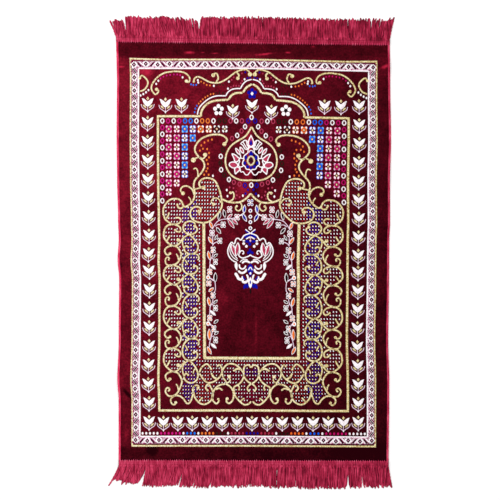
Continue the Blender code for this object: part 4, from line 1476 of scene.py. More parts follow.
    def grow(self, loom: Loom, growths: Iterable[Growth], down: float) -> None:
        """Weaves leaves and flowers.

        Args:
            loom: the loom.
            growths: what is woven.
            down: what is added to each v.
        """
        for growth in growths:
            u, v = growth.foot[0], growth.foot[1] + down
            if growth.kind is Sprig.LEAF:
                tip = (growth.tip[0], growth.tip[1] + down)
                loom.outlined(growth.yarn, (u, v), tip, growth.width + 0.3, rim=0.55)
            elif growth.kind is Sprig.BUD:
                loom.bead(Yarn.WHITE, (u, v), growth.tip, segments=8)
                loom.bead(growth.yarn, (u, v), (growth.tip[0] * 0.5, growth.tip[1] * 0.5), PAIR.over(1),
                          segments=6)
            else:
                inner = Yarn.BLACK if growth.kind is Sprig.MIXED else growth.yarn
                self.flower(loom, (u, v), growth.tip, (inner, growth.yarn))

    def flower(self, loom: Loom, centre: Point, size: Point, yarns: tuple[Yarn, Yarn]) -> None:
        """Weaves a flower of four pale petals, each with a coloured mark, round a white heart.

        Args:
            loom: the loom.
            centre: (u, v).
            size: its (width, height).
            yarns: the marks' yarns, towards the rug's middle and away from it.
        """
        u, v = centre
        across, up = size[0] / 4, size[1] / 4
        for way, yarn in zip((-1, 1), yarns):
            for rise in (-1, 1):
                place = (u + way * across, v + rise * up)
                loom.bead(Yarn.WHITE, place, (across * 2.0, up * 2.0), segments=8)
                loom.bead(yarn, place, (across * 1.15, up * 1.15), PAIR.over(1), segments=6)
        loom.bead(Yarn.WHITE, centre, (1.3, 1.7), PAIR.over(2), segments=6)


class Shaft:
    """A shader socket that takes Python arithmetic, one Math node for each operation."""

    def __init__(self, maker: "Dye", socket: bpy.types.NodeSocket) -> None:
        """Wraps an output socket of a material's nodes."""
        self.maker = maker
        self.socket = socket

    def math(self, operation: str, first: object, second: object) -> "Shaft":
        """A Math node on two values."""
        node = self.maker.node("ShaderNodeMath", {"operation": operation}, {0: first, 1: second})
        return Shaft(self.maker, node.outputs[0])

    def __add__(self, other: object) -> "Shaft":
        """The sum."""
        return self.math("ADD", self, other)

    __radd__ = __add__

    def __sub__(self, other: object) -> "Shaft":
        """The difference."""
        return self.math("SUBTRACT", self, other)

    def __rsub__(self, other: object) -> "Shaft":
        """The difference from a value on the left."""
        return self.math("SUBTRACT", other, self)

    def __mul__(self, other: object) -> "Shaft":
        """The product."""
        return self.math("MULTIPLY", self, other)

    __rmul__ = __mul__

    def __pow__(self, other: object) -> "Shaft":
        """The power."""
        return self.math("POWER", self, other)

    def clamp(self) -> "Shaft":
        """The value held between 0 and 1."""
        return self.math("MINIMUM", self.math("MAXIMUM", self, 0.0), 1.0)


def linear(colour: Sequence[float]) -> tuple[float, float, float, float]:
    """A colour in sRGB steps of 255 as the linear colour that a shader takes."""
    parts = [step / 255 for step in colour]
    return (*[c / 12.92 if c <= 0.04045 else ((c + 0.055) / 1.055) ** 2.4 for c in parts], 1.0)


class Dye:
    """A node-based material of the rug."""

    def __init__(self, name: str, roughness: float, gloss: float = 0.0, sheen: float = 0.0,
                 sheen_tint: Sequence[float] = (255, 255, 255)) -> None:
        """Starts a material with the values that are the same all over it.

        Args:
            name: the material's name.
            roughness: roughness of its fibres.
            gloss: strength of its plain reflection.
            sheen: weight of the fuzz at its edges.
            sheen_tint: the fuzz's colour, in sRGB steps of 255.
        """
        self.material = bpy.data.materials.new(name)
        self.material.use_nodes = True
        self.shader = self.material.node_tree.nodes["Principled BSDF"]
        self.shader.inputs["Roughness"].default_value = roughness
        self.shader.inputs["Specular IOR Level"].default_value = gloss
        self.shader.inputs["Sheen Weight"].default_value = sheen
        self.shader.inputs["Sheen Roughness"].default_value = 0.4
        self.shader.inputs["Sheen Tint"].default_value = linear(sheen_tint)
        self.place = self.node("ShaderNodeTexCoord").outputs["Object"]

    def node(self, kind: str, settings: dict[str, object] | None = None,
             inputs: dict[str | int, object] | None = None) -> bpy.types.Node:
        """Adds a node.

        Args:
            kind: the node's type.
            settings: its properties; "stops" is a ramp's list of (place, colour).
            inputs: values or links for its sockets.

        Returns:
            The node.
        """
        made = self.material.node_tree.nodes.new(kind)
        for key, value in (settings or {}).items():
            if key == "stops":
                self.stops(made.color_ramp, value)
            else:
                setattr(made, key, value)
        for key, value in (inputs or {}).items():
            self.feed(made.inputs[key], value)
        return made

    @staticmethod
    def stops(ramp: bpy.types.ColorRamp, rows: Sequence[tuple[float, Sequence[float]]]) -> None:
        """Sets a ramp's stops."""
        while len(ramp.elements) < len(rows):
            ramp.elements.new(0.5)
        for element, (place, colour) in zip(ramp.elements, rows):
            element.position = place
            element.color = colour

    def feed(self, socket: bpy.types.NodeSocket, value: object) -> None:
        """Links a socket to a value, or sets it."""
        if isinstance(value, Shaft):
            value = value.socket
        if isinstance(value, bpy.types.NodeSocket):
            self.material.node_tree.links.new(value, socket)
        else:
            socket.default_value = value

    def noise(self, scale: float, detail: float = 2.0, stretch: Sequence[float] = (1, 1, 1)) -> Shaft:
        """Noise over the piece.

        Args:
            scale: bumps in a metre.
            detail: how many finer layers it has.
            stretch: the scale's share along X, Y and Z.

        Returns:
            A value round 0.5.
        """
        spread = self.node("ShaderNodeMapping", {}, {"Vector": self.place, "Scale": stretch}).outputs[0]
        made = self.node("ShaderNodeTexNoise", {}, {"Vector": spread, "Scale": scale, "Detail": detail})
        return Shaft(self, made.outputs["Fac"])

    def axis(self, name: str) -> Shaft:
        """The place along one axis, in metres."""
        split = self.node("ShaderNodeSeparateXYZ", {}, {0: self.place})
        return Shaft(self, split.outputs[name])

    def blob(self, centre: Point, reach: Point, turn: float = 0.0) -> Shaft:
        """A soft oval: 1 at its middle, 0 from its rim on.

        Args:
            centre: (x, y) in metres.
            reach: half its size along its own two axes.
            turn: how far it is turned, in degrees.

        Returns:
            The mask.
        """
        local = self.node("ShaderNodeMapping", {"vector_type": "TEXTURE"}, {
            "Vector": self.place, "Location": (*centre, 0), "Rotation": (0, 0, math.radians(turn)),
            "Scale": (reach[0], reach[1], 1000.0)}).outputs[0]
        distance = self.node("ShaderNodeVectorMath", {"operation": "LENGTH"}, {0: local}).outputs["Value"]
        far = Shaft(self, distance)
        return (1 - far).clamp() ** 1.5

    def ramp(self, value: Shaft, rows: Sequence[tuple[float, Sequence[float]]]) -> bpy.types.NodeSocket:
        """A colour for a value, from stops in sRGB steps of 255."""
        made = self.node("ShaderNodeValToRGB", {"stops": [(p, linear(c)) for p, c in rows]}, {0: value})
        return made.outputs[0]

    def blend(self, share: object, first: object, second: object) -> bpy.types.NodeSocket:
        """A colour a share of the way from one to another."""
        made = self.node("ShaderNodeMix", {"data_type": "RGBA"}, {0: share, 6: first, 7: second})
        return made.outputs[2]

    def bump(self, height: Shaft, distance: float, strength: float) -> None:
        """Roughens the surface by a height."""
        made = self.node("ShaderNodeBump", {}, {"Height": height, "Distance": distance, "Strength": strength})
        self.feed(self.shader.inputs["Normal"], made.outputs[0])

    def paint(self, colour: object) -> None:
        """Sets the base colour."""
        self.feed(self.shader.inputs["Base Color"], colour)


@dataclass(frozen=True)
class VelvetFinish:
    """Wine velvet: mottled with painted sheen, painted lighter to the left and top where the pile leans to
    the light, with painted highlights on crush marks and painted shade along its folds and creases.
    """

    shades: tuple[tuple[float, tuple[int, int, int]], ...] = (
        (0.0, (35, 2, 8)), (0.2, (57, 6, 14)), (0.44, (86, 10, 24)), (0.7, (128, 20, 38)),
        (1.0, (177, 32, 60)),
    )
    crushed: tuple[tuple[float, float, float, float, float, float], ...] = (
        # painted highlights of crush marks and of the lit sides of folds and creases: (x, y, reach along,
        # reach across, turn, weight)
        (-0.345, 0.480, 0.014, 0.005, 0, 0.8), (0.344, 0.482, 0.030, 0.008, 25, 0.9),
        (-0.165, 0.517, 0.022, 0.006, 0, 1.0), (-0.131, 0.517, 0.008, 0.003, 0, 0.7),
        (-0.100, 0.515, 0.015, 0.003, 0, 0.8), (0.154, 0.532, 0.010, 0.006, 0, 0.5),
        (-0.05, 0.51, 0.20, 0.012, 0, 0.25), (-0.030, 0.165, 0.030, 0.045, 0, 0.45),
        (-0.085, -0.12, 0.035, 0.035, 0, 0.2),
        (-0.011, 0.26, 0.018, 0.16, 0, 0.5), (-0.30, 0.47, 0.04, 0.012, 0, 0.3),
        (0.006, -0.20, 0.007, 0.20, 0, 0.2), (-0.024, -0.20, 0.006, 0.20, 0, 0.1),
        (0.030, 0.5130, 0.036, 0.0045, 6, 0.9), (0.089, 0.517, 0.012, 0.005, 0, 0.9),
        (-0.348, -0.335, 0.020, 0.030, 0, 0.35),
        (-0.265, -0.492, 0.026, 0.008, 60, 0.45), (-0.330, -0.470, 0.012, 0.030, 0, 0.3),
        (0.22, -0.49, 0.08, 0.008, 8, 0.15), (-0.275, 0.465, 0.025, 0.02, 0, 0.5),
    )
    # painted shade on the dark sides of the folds and creases, and darker places near the ends: (x, y, reach
    # along, reach across, turn, weight)
    shaded: tuple[tuple[float, float, float, float, float, float], ...] = (
        (0.005, 0.24, 0.014, 0.16, 0, 0.6), (-0.263, -0.512, 0.022, 0.020, 20, 0.9),
        (-0.328, -0.366, 0.028, 0.007, -52, 0.9), (-0.31, -0.39, 0.030, 0.006, -60, 0.5),
        (0.30, -0.505, 0.10, 0.030, 0, 0.35), (-0.346, -0.034, 0.010, 0.012, 0, 0.5),
        (0.22, 0.475, 0.10, 0.008, 0, 0.35), (-0.18, 0.488, 0.12, 0.007, 0, 0.5),
    )

    def make(self) -> bpy.types.Material:
        """The velvet's material."""
        dye = Dye("wine_velvet", 0.8, 0.0, 0.06, (255, 40, 80))
        across, along = dye.axis("X"), dye.axis("Y")
        # painted light: lighter to the left and towards the top, where the pile leans to the light, and
        # darker along the two end margins
        lean = 0.36 - 0.50 * across + 0.20 * along
        top_margin = ((along - 0.500) * 120.0).clamp()
        foot_margin = ((-0.502 - along) * 100.0).clamp()
        lean = lean - top_margin * (0.18 - 0.35 * across) - foot_margin * (0.13 - 0.10 * across)
        # random mottling of the pile that also stands in for its uneven sheen: painted sheen
        mottled_sheen = dye.noise(9.0, 3.0) * 0.45 + dye.noise(45.0, 3.0) * 0.40 + dye.noise(210.0, 3.0) * 0.62
        level = lean + mottled_sheen - 0.745
        # painted highlights and painted shade of the crush marks, folds and creases
        for x, y, along, across, turn, weight in self.crushed:
            level = level + dye.blob((x, y), (along, across), turn) * weight
        for x, y, along, across, turn, weight in self.shaded:
            level = level - dye.blob((x, y), (along, across), turn) * weight
        grain = dye.noise(900.0, 2.0)
        level = (level + (grain - 0.5) * 0.30).clamp()
        dye.paint(dye.ramp(level, self.shades))
        dye.bump(grain + dye.noise(90.0, 3.0) * 1.5, 0.0006, 0.5)
        return dye.material


@dataclass(frozen=True)
class YarnFinish:
    """A pattern yarn: short stitches of slightly uneven shade, deeper where less light falls on it."""

    yarn: Yarn
    # painted shade: a dimmed copy of the colours, raised to the power depth, is taken right of dim_from and
    # in dim_places, where less light falls
    depth: float = 1.35
    dimmed: float = 0.97
    dim_from: float = 0.04
    dim_places: tuple[tuple[Point, Point], ...] = (
        # places of painted shade: (middle, reach)
        ((0.03, -0.48), (0.20, 0.08)), ((0.03, 0.475), (0.22, 0.05)),
    )

    def make(self) -> bpy.types.Material:
        """The yarn's material."""
        dye = Dye(f"{self.yarn.word}_stitches", 0.7, 0.04)
        base = self.yarn.colour
        deep = [c * (0.86 if self.yarn is Yarn.GOLD else 0.88) for c in base]
        pale = [min(255, c * 1.07 + 4) for c in base]
        if self.yarn is Yarn.GOLD:
            deep = (168, 130, 84)
            pale = (246, 240, 204)
        weave = dye.noise(330.0, 2.0) * 0.7 + dye.noise(1300.0, 1.0, (1, 0.6, 1)) * 0.3
        spread = ((weave - 0.5) * 4.0 + 0.55).clamp()
        rows = ((0.0, deep), (0.5, base), (1.0, pale))
        shaded = [(place, [255 * self.dimmed * (c / 255) ** self.depth for c in colour]) for place,
                  colour in rows]
        # painted shade mask: the right side and the places near the ends
        shade = ((dye.axis("X") - self.dim_from) * 6.0).clamp()
        for centre, reach in self.dim_places:
            shade = shade + dye.blob(centre, reach)
        dye.paint(dye.blend(shade.clamp().socket, dye.ramp(spread, rows), dye.ramp(spread, shaded)))
        dye.bump(weave, 0.0005, 0.6)
        return dye.material


@dataclass(frozen=True)
class FringeFinish:
    """Crimson yarn: loosely twisted, with a soft shine, painted highlights along its strands, painted shade
    in the hollows between them, and painted light that is stronger to the left.
    """

    name: str
    dark: tuple[int, int, int] = (88, 8, 28)
    mid: tuple[int, int, int] = (158, 28, 60)
    light: tuple[int, int, int] = (212, 66, 102)
    light_falloff: float = 0.30

    def make(self) -> bpy.types.Material:
        """The yarn's material."""
        dye = Dye(self.name, 0.6, 0.05, 0.02, (255, 130, 160))
        # painted highlights along the strands and painted shade in the hollows between them
        shade = dye.noise(260.0, 2.0, (1.8, 0.12, 1)) * 0.75 + dye.noise(45.0, 2.0) * 0.25
        # painted light: lighter to the left by the falloff across, and slightly lighter towards the foot end
        lean = 0.54 - dye.axis("X") * self.light_falloff - dye.axis("Y") * 0.06
        spread = ((shade - 0.5) * 3.2 + lean).clamp()
        dye.paint(dye.ramp(spread, ((0.0, self.dark), (0.5, self.mid), (1.0, self.light))))
        dye.bump(dye.noise(1600.0, 2.0), 0.0004, 0.5)
        return dye.material


def piece(bm: bmesh.types.BMesh, name: str, finish: bpy.types.Material) -> bpy.types.Object:
    """Closes a mesh, turns its faces out and makes it a piece of the rug that rides on its body.

    Args:
        bm: its mesh, which is used up.
        name: its name.
        finish: its material.

    Returns:
        The object.
    """
    bmesh.ops.remove_doubles(bm, verts=bm.verts, dist=MERGE)
    bmesh.ops.recalc_face_normals(bm, faces=bm.faces)
    mesh = bpy.data.meshes.new(name)
    bm.to_mesh(mesh)
    bm.free()
    mesh.materials.append(finish)
    mesh.shade_smooth()
    made = bpy.data.objects.new(name, mesh)
    bpy.context.scene.collection.objects.link(made)
    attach(made, BODY)
    log.info("%s: %d faces", name, len(mesh.polygons))
    return made


@dataclass(frozen=True)
class VelvetCloth:
    """The pile cloth: one closed slab whose rim is pressed down under the heading and the bindings."""

    rug: Rug
    across: int = 96
    along: int = 150
    crease_reach: float = 0.012
    creases: tuple[tuple[float, float, float, float, float], ...] = (
        # (from x, from y, to x, to y, height)
        (-0.350, -0.338, -0.318, -0.392, -0.0006),
        (-0.282, -0.508, -0.268, -0.545, -0.0006),
        (-0.242, -0.512, -0.262, -0.545, 0.0004),
    )

    def make(self, finish: bpy.types.Material) -> bpy.types.Object:
        """Makes the cloth.

        Args:
            finish: the velvet.

        Returns:
            The cloth.
        """
        rug = self.rug
        bm = bmesh.new()
        columns = self.lines(rug.half_width, rug.side_margin, self.across)
        rows = self.lines(rug.half_length, rug.end_margin, self.along)
        for vertex, i, j in net(bm, self.across, self.along):
            vertex.co = (columns[i], rows[j], 0.0)
        under = bmesh.ops.extrude_face_region(bm, geom=bm.faces[:])["geom"]
        lower = {item for item in under if isinstance(item, bmesh.types.BMVert)}
        for vertex in bm.verts:
            x, y, _ = vertex.co
            in_side = abs(x) > rug.half_width - rug.side_margin - SAME_PLACE
            in_end = abs(y) > rug.half_length - rug.end_margin - SAME_PLACE
            if vertex in lower:
                z = rug.side_undercut if in_side else 0.0
            else:
                z = rug.pressed_top if in_side or in_end else rug.pile_top + self.crease(x, y)
            vertex.co = rug.laid(x, y, z)
        made = piece(bm, "velvet_pile_cloth", finish)
        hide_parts("velvet_cloth")
        return made

    def lines(self, half: float, margin: float, count: int) -> list[float]:
        """Places of the net's lines along one axis, with two at each step down to a margin."""
        rug = self.rug
        inner = half - margin - rug.step_run
        steps = count - 4
        even = [inner * (2 * i / steps - 1) for i in range(steps + 1)]
        return [-half, margin - half, *even, half - margin, half]

    def crease(self, x: float, y: float) -> float:
        """Height of the soft creases at a place of the true rectangle."""
        height = 0.0
        for from_x, from_y, to_x, to_y, top in self.creases:
            start, run = Vector((from_x, from_y)), Vector((to_x - from_x, to_y - from_y))
            share = min(1.0, max(0.0, (Vector((x, y)) - start).dot(run) / run.length_squared))
            distance = (Vector((x, y)) - start - run * share).length
            height += top * ease(1 - distance / self.crease_reach)
        return height


@dataclass(frozen=True)
class Binding:
    """The overlocked yarn down one long side: turn after turn round the pressed margin."""

    rug: Rug
    side: int
    pitch: float = 0.0026
    wall: float = 0.0012
    lower_leg: float = 0.0006
    top: float = 0.0041

    def make(self, finish: bpy.types.Material) -> bpy.types.Object:
        """Makes the binding.

        Args:
            finish: the yarn.

        Returns:
            The binding.
        """
        rug = self.rug
        reach = rug.half_length - rug.end_margin - rug.clearance
        turns = round(2 * reach / self.pitch)
        bm = bmesh.new()
        scatter = random.Random(SEED + self.side)
        for number in range(turns):
            y = -reach + (number + 0.5) * 2 * reach / turns
            self.turn(bm, y, scatter.uniform(-0.0001, 0.0002))
        word = "left" if self.side < 0 else "right"
        made = piece(bm, f"overlock_{word}", finish)
        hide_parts(f"binding_{word}")
        return made

    def turn(self, bm: bmesh.types.BMesh, y: float, out: float) -> None:
        """Adds one turn of yarn, a C round the margin.

        Args:
            bm: the binding's bmesh.
            y: its place along the rug.
            out: how far it stands out more than the others.
        """
        rug = self.rug
        tip = rug.half_width - rug.side_margin + rug.clearance
        edge = rug.half_width + rug.clearance + self.wall / 2 + out
        upper = (rug.pressed_top + rug.clearance + self.top) / 2
        lower = self.lower_leg / 2 + 0.0001
        curve = ((tip, upper - 0.0003), (tip + 0.0014, upper), (rug.half_width - 0.0012, upper),
                 (rug.half_width + 0.0001, upper - 0.0003), (edge, (upper + lower) / 2),
                 (rug.half_width + 0.0001, lower + 0.0001), (rug.half_width - 0.0016, lower), (tip, lower))
        count, rounds = len(curve) - 1, 6
        for vertex, i, j in net(bm, count, rounds):
            x, z = curve[i]
            before, after = Vector(curve[max(i - 1, 0)]), Vector(curve[min(i + 1, count)])
            ahead = (after - before).normalized()
            angle = math.tau * j / rounds
            thick = 0.0 if i in (0, count) else 0.00062 if i < 5 else 0.00036
            along = 0.0 if i in (0, count) else self.pitch * 0.62
            over = math.cos(angle) * thick
            slant = 0.0006 * (i / count - 0.5)
            vertex.co = rug.laid(self.side * (x - ahead.y * over), y + slant + math.sin(angle) * along,
                                 z + ahead.x * over)


@dataclass(frozen=True)
class Fringe:
    """One end's fringe: a ribbed heading over the cloth's end, its stitching, and the yarns at its foot."""

    rug: Rug
    end: int
    locks: tuple[tuple[float, float, float, float, float], ...]
    yarns: int = 240
    under_yarns: int = 240
    under_width: float = 0.0046
    heading_top: float = 0.0043
    heading_wall: float = 0.0015
    rib_pitch: float = 0.0034
    yarn_width: float = 0.0042
    yarn_height: float = 0.0024
    comb_stitches: int = 124
    seam_stitches: int = 190
    seam_offset: float = 0.0074
    twist_pitch: float = 0.017

    @property
    def word(self) -> str:
        """The end's word in a piece's name."""
        return "top" if self.end > 0 else "bottom"

    def make(self, finish: bpy.types.Material, thread: bpy.types.Material) -> list[bpy.types.Object]:
        """Makes the heading, its stitching and the yarns.

        Args:
            finish: the yarn.
            thread: the sewing thread.

        Returns:
            The pieces.
        """
        heading = self.heading(finish)
        strands = self.strands(finish)
        stitches = self.stitches(thread)
        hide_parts(f"fringe_{self.word}")
        return [heading, strands, stitches]

    def outline(self) -> list[Point]:
        """The heading's section, (y from the middle of the rug, z), from its inner foot round and back."""
        rug = self.rug
        riser = rug.half_length + rug.clearance
        front = riser + self.heading_wall
        lap = rug.half_length - rug.end_margin + rug.step_run
        under = rug.pressed_top + rug.clearance
        top = self.heading_top
        return [(lap, under), (riser, under), (riser, 0.0), (front, 0.0), (front, top - 0.0012),
                (front - 0.0006, top - 0.0004), (front - 0.0020, top), (front - 0.0060, top - 0.0001),
                (front - 0.0105, top), (lap + 0.0022, top), (lap, top - 0.0003), (lap, under)]

    def heading(self, finish: bpy.types.Material) -> bpy.types.Object:
        """The ribbed band."""
        rug = self.rug
        half = rug.half_width + rug.clearance + 0.0012
        outline = self.outline()
        count = 2 * round(2 * half / self.rib_pitch)
        rounds = len(outline) - 1
        bm = bmesh.new()
        for vertex, i, j in net(bm, count, rounds):
            y, z = outline[j]
            groove = 0.00045 if i % 2 == 0 and 4 <= j <= 9 else 0.0
            x = half * (2 * i / count - 1)
            vertex.co = rug.laid(x, self.end * y, z - groove)
        bmesh.ops.remove_doubles(bm, verts=bm.verts, dist=MERGE)
        bmesh.ops.holes_fill(bm, edges=[e for e in bm.edges if e.is_boundary], sides=0)
        return piece(bm, f"heading_{self.word}", finish)

    def stitches(self, thread: bpy.types.Material) -> bpy.types.Object:
        """The comb of short stitches at the heading's inner edge, and a line of sewing."""
        rug = self.rug
        half = rug.half_width - 0.001
        lap = rug.half_length - rug.end_margin
        bm = bmesh.new()
        scatter = random.Random(SEED * 3 + self.end)
        for number in range(self.comb_stitches):
            x = half * (2 * (number + 0.5) / self.comb_stitches - 1) + scatter.uniform(-0.0005, 0.0005)
            near, far = lap - 0.0030 + scatter.uniform(-0.0008, 0.0008), lap + 0.0052
            self.thread(bm, (x, self.end * near), (x + 0.0008, self.end * far), 0.0013)
        y, step = self.end * (lap + self.seam_offset), 2 * half / self.seam_stitches
        for number in range(self.seam_stitches):
            x = half * (2 * number / self.seam_stitches - 1)
            self.thread(bm, (x, y), (x + step * 0.86, y), 0.0006)
        return piece(bm, f"heading_stitches_{self.word}", thread)

    def thread(self, bm: bmesh.types.BMesh, start: Point, end: Point, half: float) -> None:
        """Adds one stitch that lies on the heading.

        Args:
            bm: the stitches' bmesh.
            start: (x, y) of the true rectangle where it starts.
            end: where it ends.
            half: half its width.
        """
        a, b = Vector(start), Vector(end)
        across = Vector((a.y - b.y, b.x - a.x)).normalized()
        made = bmesh.ops.create_grid(bm, x_segments=4, y_segments=5, size=1.0)["verts"]
        for vertex in made:
            t = (vertex.co.x + 1) / 2
            angle = math.pi * (vertex.co.y + 1)
            wide = half * math.sin(math.pi * t) ** 0.5 if 0 < t < 1 else 0.0
            flat = a.lerp(b, t) + across * math.cos(angle) * wide
            height = 0.00035 * math.sin(math.pi * t) + math.sin(angle) * wide * 0.7
            vertex.co = self.rug.laid(flat.x, flat.y, self.heading_top - 0.0001 + height)

    def lock_at(self, x: float) -> tuple[float, float]:
        """(lean in radians, length) of the yarn rooted at x."""
        for start, end, lean_start, lean_end, length in self.locks:
            if x <= end:
                return math.radians(mix(lean_start, lean_end, (x - start) / (end - start))), length
        return math.radians(self.locks[-1][3]), self.locks[-1][4]

    def strands(self, finish: bpy.types.Material) -> bpy.types.Object:
        """The loose twisted yarns."""
        rug = self.rug
        half = rug.half_width + rug.clearance
        foot = rug.half_length + rug.clearance + self.heading_wall - 0.0006
        bm = bmesh.new()
        scatter = random.Random(SEED * 5 + self.end)
        for number in range(self.under_yarns):
            x = half * (2 * (number + 0.5) / self.under_yarns - 1) * 0.992
            lean, length = self.lock_at(x)
            lean += math.radians(scatter.gauss(0.0, 0.8))
            self.strand(bm, Vector((x, self.end * foot)), (lean, length - scatter.uniform(-0.001, 0.0045)),
                        (self.under_width, 0.0012), (scatter.gauss(0.0, 0.0006), 0.0), 0.0)
        for number in range(self.yarns):
            x = half * (2 * (number + 0.5) / self.yarns - 1)
            lean, length = self.lock_at(x)
            lean += math.radians(scatter.gauss(0.0, 2.6))
            length += scatter.uniform(-0.0020, 0.0040)
            height = scatter.uniform(0.0002, 0.0012) + (number % 2) * 0.0006
            self.strand(bm, Vector((x, self.end * (foot - 0.0048))), (lean, length + 0.0048),
                        (self.yarn_width, self.yarn_height), (scatter.gauss(0.0, 0.0013), height),
                        scatter.uniform(0, math.tau))
        return piece(bm, f"fringe_yarns_{self.word}", finish)

    def strand(self, bm: bmesh.types.BMesh, root: Vector, run: Point, section: Point, arc: Point,
               phase: float) -> None:
        """Adds one yarn, thinner and drawn to a point at the tip; where it lies raised, two plies turn round
        each other.

        Args:
            bm: the yarns' bmesh.
            root: (x, y) of its root in the true rectangle.
            run: its lean in radians and its length.
            section: its width and its height.
            arc: how far its middle lies off its line and how high it lies over the floor.
            phase: where its twist starts.
        """
        lean, length = run
        width, tall = section
        bow, height = arc
        count, rounds = (20, 6) if height else (12, 4)
        twist = math.tau * length / self.twist_pitch
        rest = self.rug.half_length + self.rug.clearance + self.heading_wall
        for vertex, i, j in net(bm, count, rounds):
            t = i / count
            bend = lean * (0.75 + 0.25 * t)
            side_way = bow * math.sin(math.pi * t) + 0.4 * bow * math.sin(3 * math.pi * t)
            middle = root + Vector((math.sin(bend), self.end * math.cos(bend))) * length * t
            across = Vector((math.cos(bend), -self.end * math.sin(bend)))
            angle = math.tau * j / rounds
            ply = 1 + (0.24 * math.cos(2 * (angle - phase - twist * t)) if height else 0.0)
            wide = width / 2 * mix(1.0, 0.90, t) * ply
            high = tall / 2 * mix(1.0, 0.62, t) * ply
            if i == count:
                wide = high = 0.0
            elif i == count - 1:
                wide, high = wide * 0.95, high * 0.7
            flat = middle + across * (side_way + math.cos(angle) * wide)
            z = tall / 2 * mix(1.15, 0.62, t) + height * math.sin(math.pi * min(1, t * 1.1))
            if height:
                z = mix(self.heading_top + 0.0002, z, ease((abs(middle.y) - rest + 0.0030) / 0.0075))
            vertex.co = self.rug.laid(flat.x, flat.y, max(z + math.sin(angle) * high, 0.0001))


@dataclass(frozen=True)
class Studio:
    """The pale floor, the soft light and the camera above the rug."""

    view_width: float = 1.2965
    lens: float = 200.0
    sensor: float = 36.0
    aim: Point = (-0.0093, 0.0052)

    def make(self) -> None:
        """Makes the studio."""
        self.floor()
        self.lights()
        self.camera()

    def floor(self) -> None:
        """A wide plain floor, not attached to the rug's body."""
        bm = bmesh.new()
        bmesh.ops.create_grid(bm, x_segments=1, y_segments=1, size=30.0)
        mesh = bpy.data.meshes.new("studio_floor")
        bm.to_mesh(mesh)
        bm.free()
        floor = bpy.data.objects.new("studio_floor", mesh)
        dye = Dye("pale_floor", 0.9)
        dye.paint(linear((250, 250, 250)))
        mesh.materials.append(dye.material)
        bpy.context.scene.collection.objects.link(floor)

    def lights(self) -> None:
        """A pale surround, a broad soft light overhead and a weaker one from the upper left."""
        world = bpy.data.worlds.new("pale_surround")
        world.use_nodes = True
        world.node_tree.nodes["Background"].inputs["Color"].default_value = (1.0, 1.0, 1.0, 1.0)
        world.node_tree.nodes["Background"].inputs["Strength"].default_value = 0.72
        bpy.context.scene.world = world
        for name, place, size, power in (("overhead", (0.0, 0.4, 4.0), 3.0, 60.0),
                                         ("upper_left", (-2.2, 2.2, 2.4), 1.2, 34.0)):
            data = bpy.data.lights.new(name, "AREA")
            data.size, data.energy = size, power
            light = bpy.data.objects.new(name, data)
            light.location = place
            light.rotation_euler = (-Vector(place)).to_track_quat("-Z", "Y").to_euler()
            bpy.context.scene.collection.objects.link(light)

    def camera(self) -> None:
        """A long lens straight above the rug."""
        data = bpy.data.cameras.new("camera")
        data.lens, data.sensor_width = self.lens, self.sensor
        distance = self.view_width * self.lens / self.sensor
        data.clip_end = 100.0
        camera = bpy.data.objects.new("camera", data)
        camera.location = (*self.aim, distance)
        bpy.context.scene.collection.objects.link(camera)
        bpy.context.scene.camera = camera
        bpy.context.scene.view_settings.view_transform = "Standard"


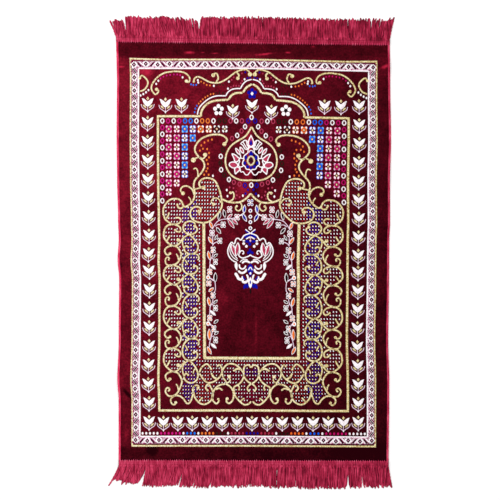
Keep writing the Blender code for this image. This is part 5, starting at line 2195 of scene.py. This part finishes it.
TOP_LOCKS = (
    # (from x, to x, lean at from, lean at to, length)
    (-0.360, -0.3245, -24, -17, 0.0425),
    (-0.3245, -0.302, -4, -9, 0.0500),
    (-0.302, -0.262, -14, -21, 0.0520),
    (-0.262, -0.200, -21, -18, 0.0530),
    (-0.200, -0.170, -17, -17, 0.0500),
    (-0.170, -0.140, -17, -8, 0.0455),
    (-0.140, -0.100, 8, 0, 0.0510),
    (-0.100, -0.020, -6, -2, 0.0515),
    (-0.020, 0.060, -4, 2, 0.0525),
    (0.060, 0.120, 2, 0, 0.0505),
    (0.120, 0.180, 0, -1, 0.0500),
    (0.180, 0.250, 0, -4, 0.0490),
    (0.250, 0.300, -3, 2, 0.0505),
    (0.300, 0.338, 6, 16, 0.0505),
    (0.338, 0.360, 14, 14, 0.0550),
)
BOTTOM_LOCKS = (
    (-0.360, -0.3475, -31, -30, 0.0600),
    (-0.3475, -0.325, -27, -26, 0.0410),
    (-0.325, -0.279, -25, -27, 0.0490),
    (-0.279, -0.240, -8, -12, 0.0525),
    (-0.240, -0.183, -13, -18, 0.0520),
    (-0.183, -0.160, -10, -12, 0.0520),
    (-0.160, -0.105, -13, -10, 0.0550),
    (-0.105, -0.020, -9, -3, 0.0530),
    (-0.020, 0.030, -3, -2, 0.0500),
    (0.030, 0.120, -2, 1, 0.0540),
    (0.120, 0.200, -1, 1, 0.0560),
    (0.200, 0.247, 0, -6, 0.0560),
    (0.247, 0.281, 4, -4, 0.0530),
    (0.281, 0.320, 9, 7, 0.0540),
    (0.320, 0.360, 9, 18, 0.0520),
)


def main() -> None:
    """Builds the rug piece by piece, then the studio."""
    logging.basicConfig(level=logging.INFO, format="%(message)s")
    rug = Rug()
    loom = Loom(rug)
    columns = Columns()
    for figures in (Border(), TopScrolls(), Arch(), Medallion(), SideScrolls(), columns, Pendant(),
                    Garland()):
        figures.weave(loom)
        log.info("%s woven", type(figures).__name__)
    Lattice().weave(loom, columns)
    trim = []
    for (group, yarn), bm in loom.meshes.items():
        trim.append(piece(bm, f"{group or 'figures'}_{yarn.word}", YarnFinish(yarn).make()))
    crimson = FringeFinish("crimson_yarn").make()
    thread = FringeFinish("crimson_thread", (162, 28, 62), (200, 54, 92), (230, 104, 136)).make()
    # lit and shaded copies of the same overlock yarn: painted light on the left binding, painted shade on the
    # right one
    lit_left_binding_yarn = FringeFinish("lit_left_overlock_yarn", (184, 20, 58), (218, 44, 86), (240, 90, 124), 0.0).make()
    shaded_right_binding_yarn = FringeFinish("shaded_right_overlock_yarn", (140, 16, 46), (184, 40, 74), (220, 80, 112), 0.0).make()
    for end, locks in ((1, TOP_LOCKS), (-1, BOTTOM_LOCKS)):
        trim += Fringe(rug, end, locks).make(crimson, thread)
    for side, yarn in ((-1, lit_left_binding_yarn), (1, shaded_right_binding_yarn)):
        trim.append(Binding(rug, side).make(yarn))
    cloth = VelvetCloth(rug).make(VelvetFinish().make())
    Studio().make()


if __name__ == "__main__":
    main()
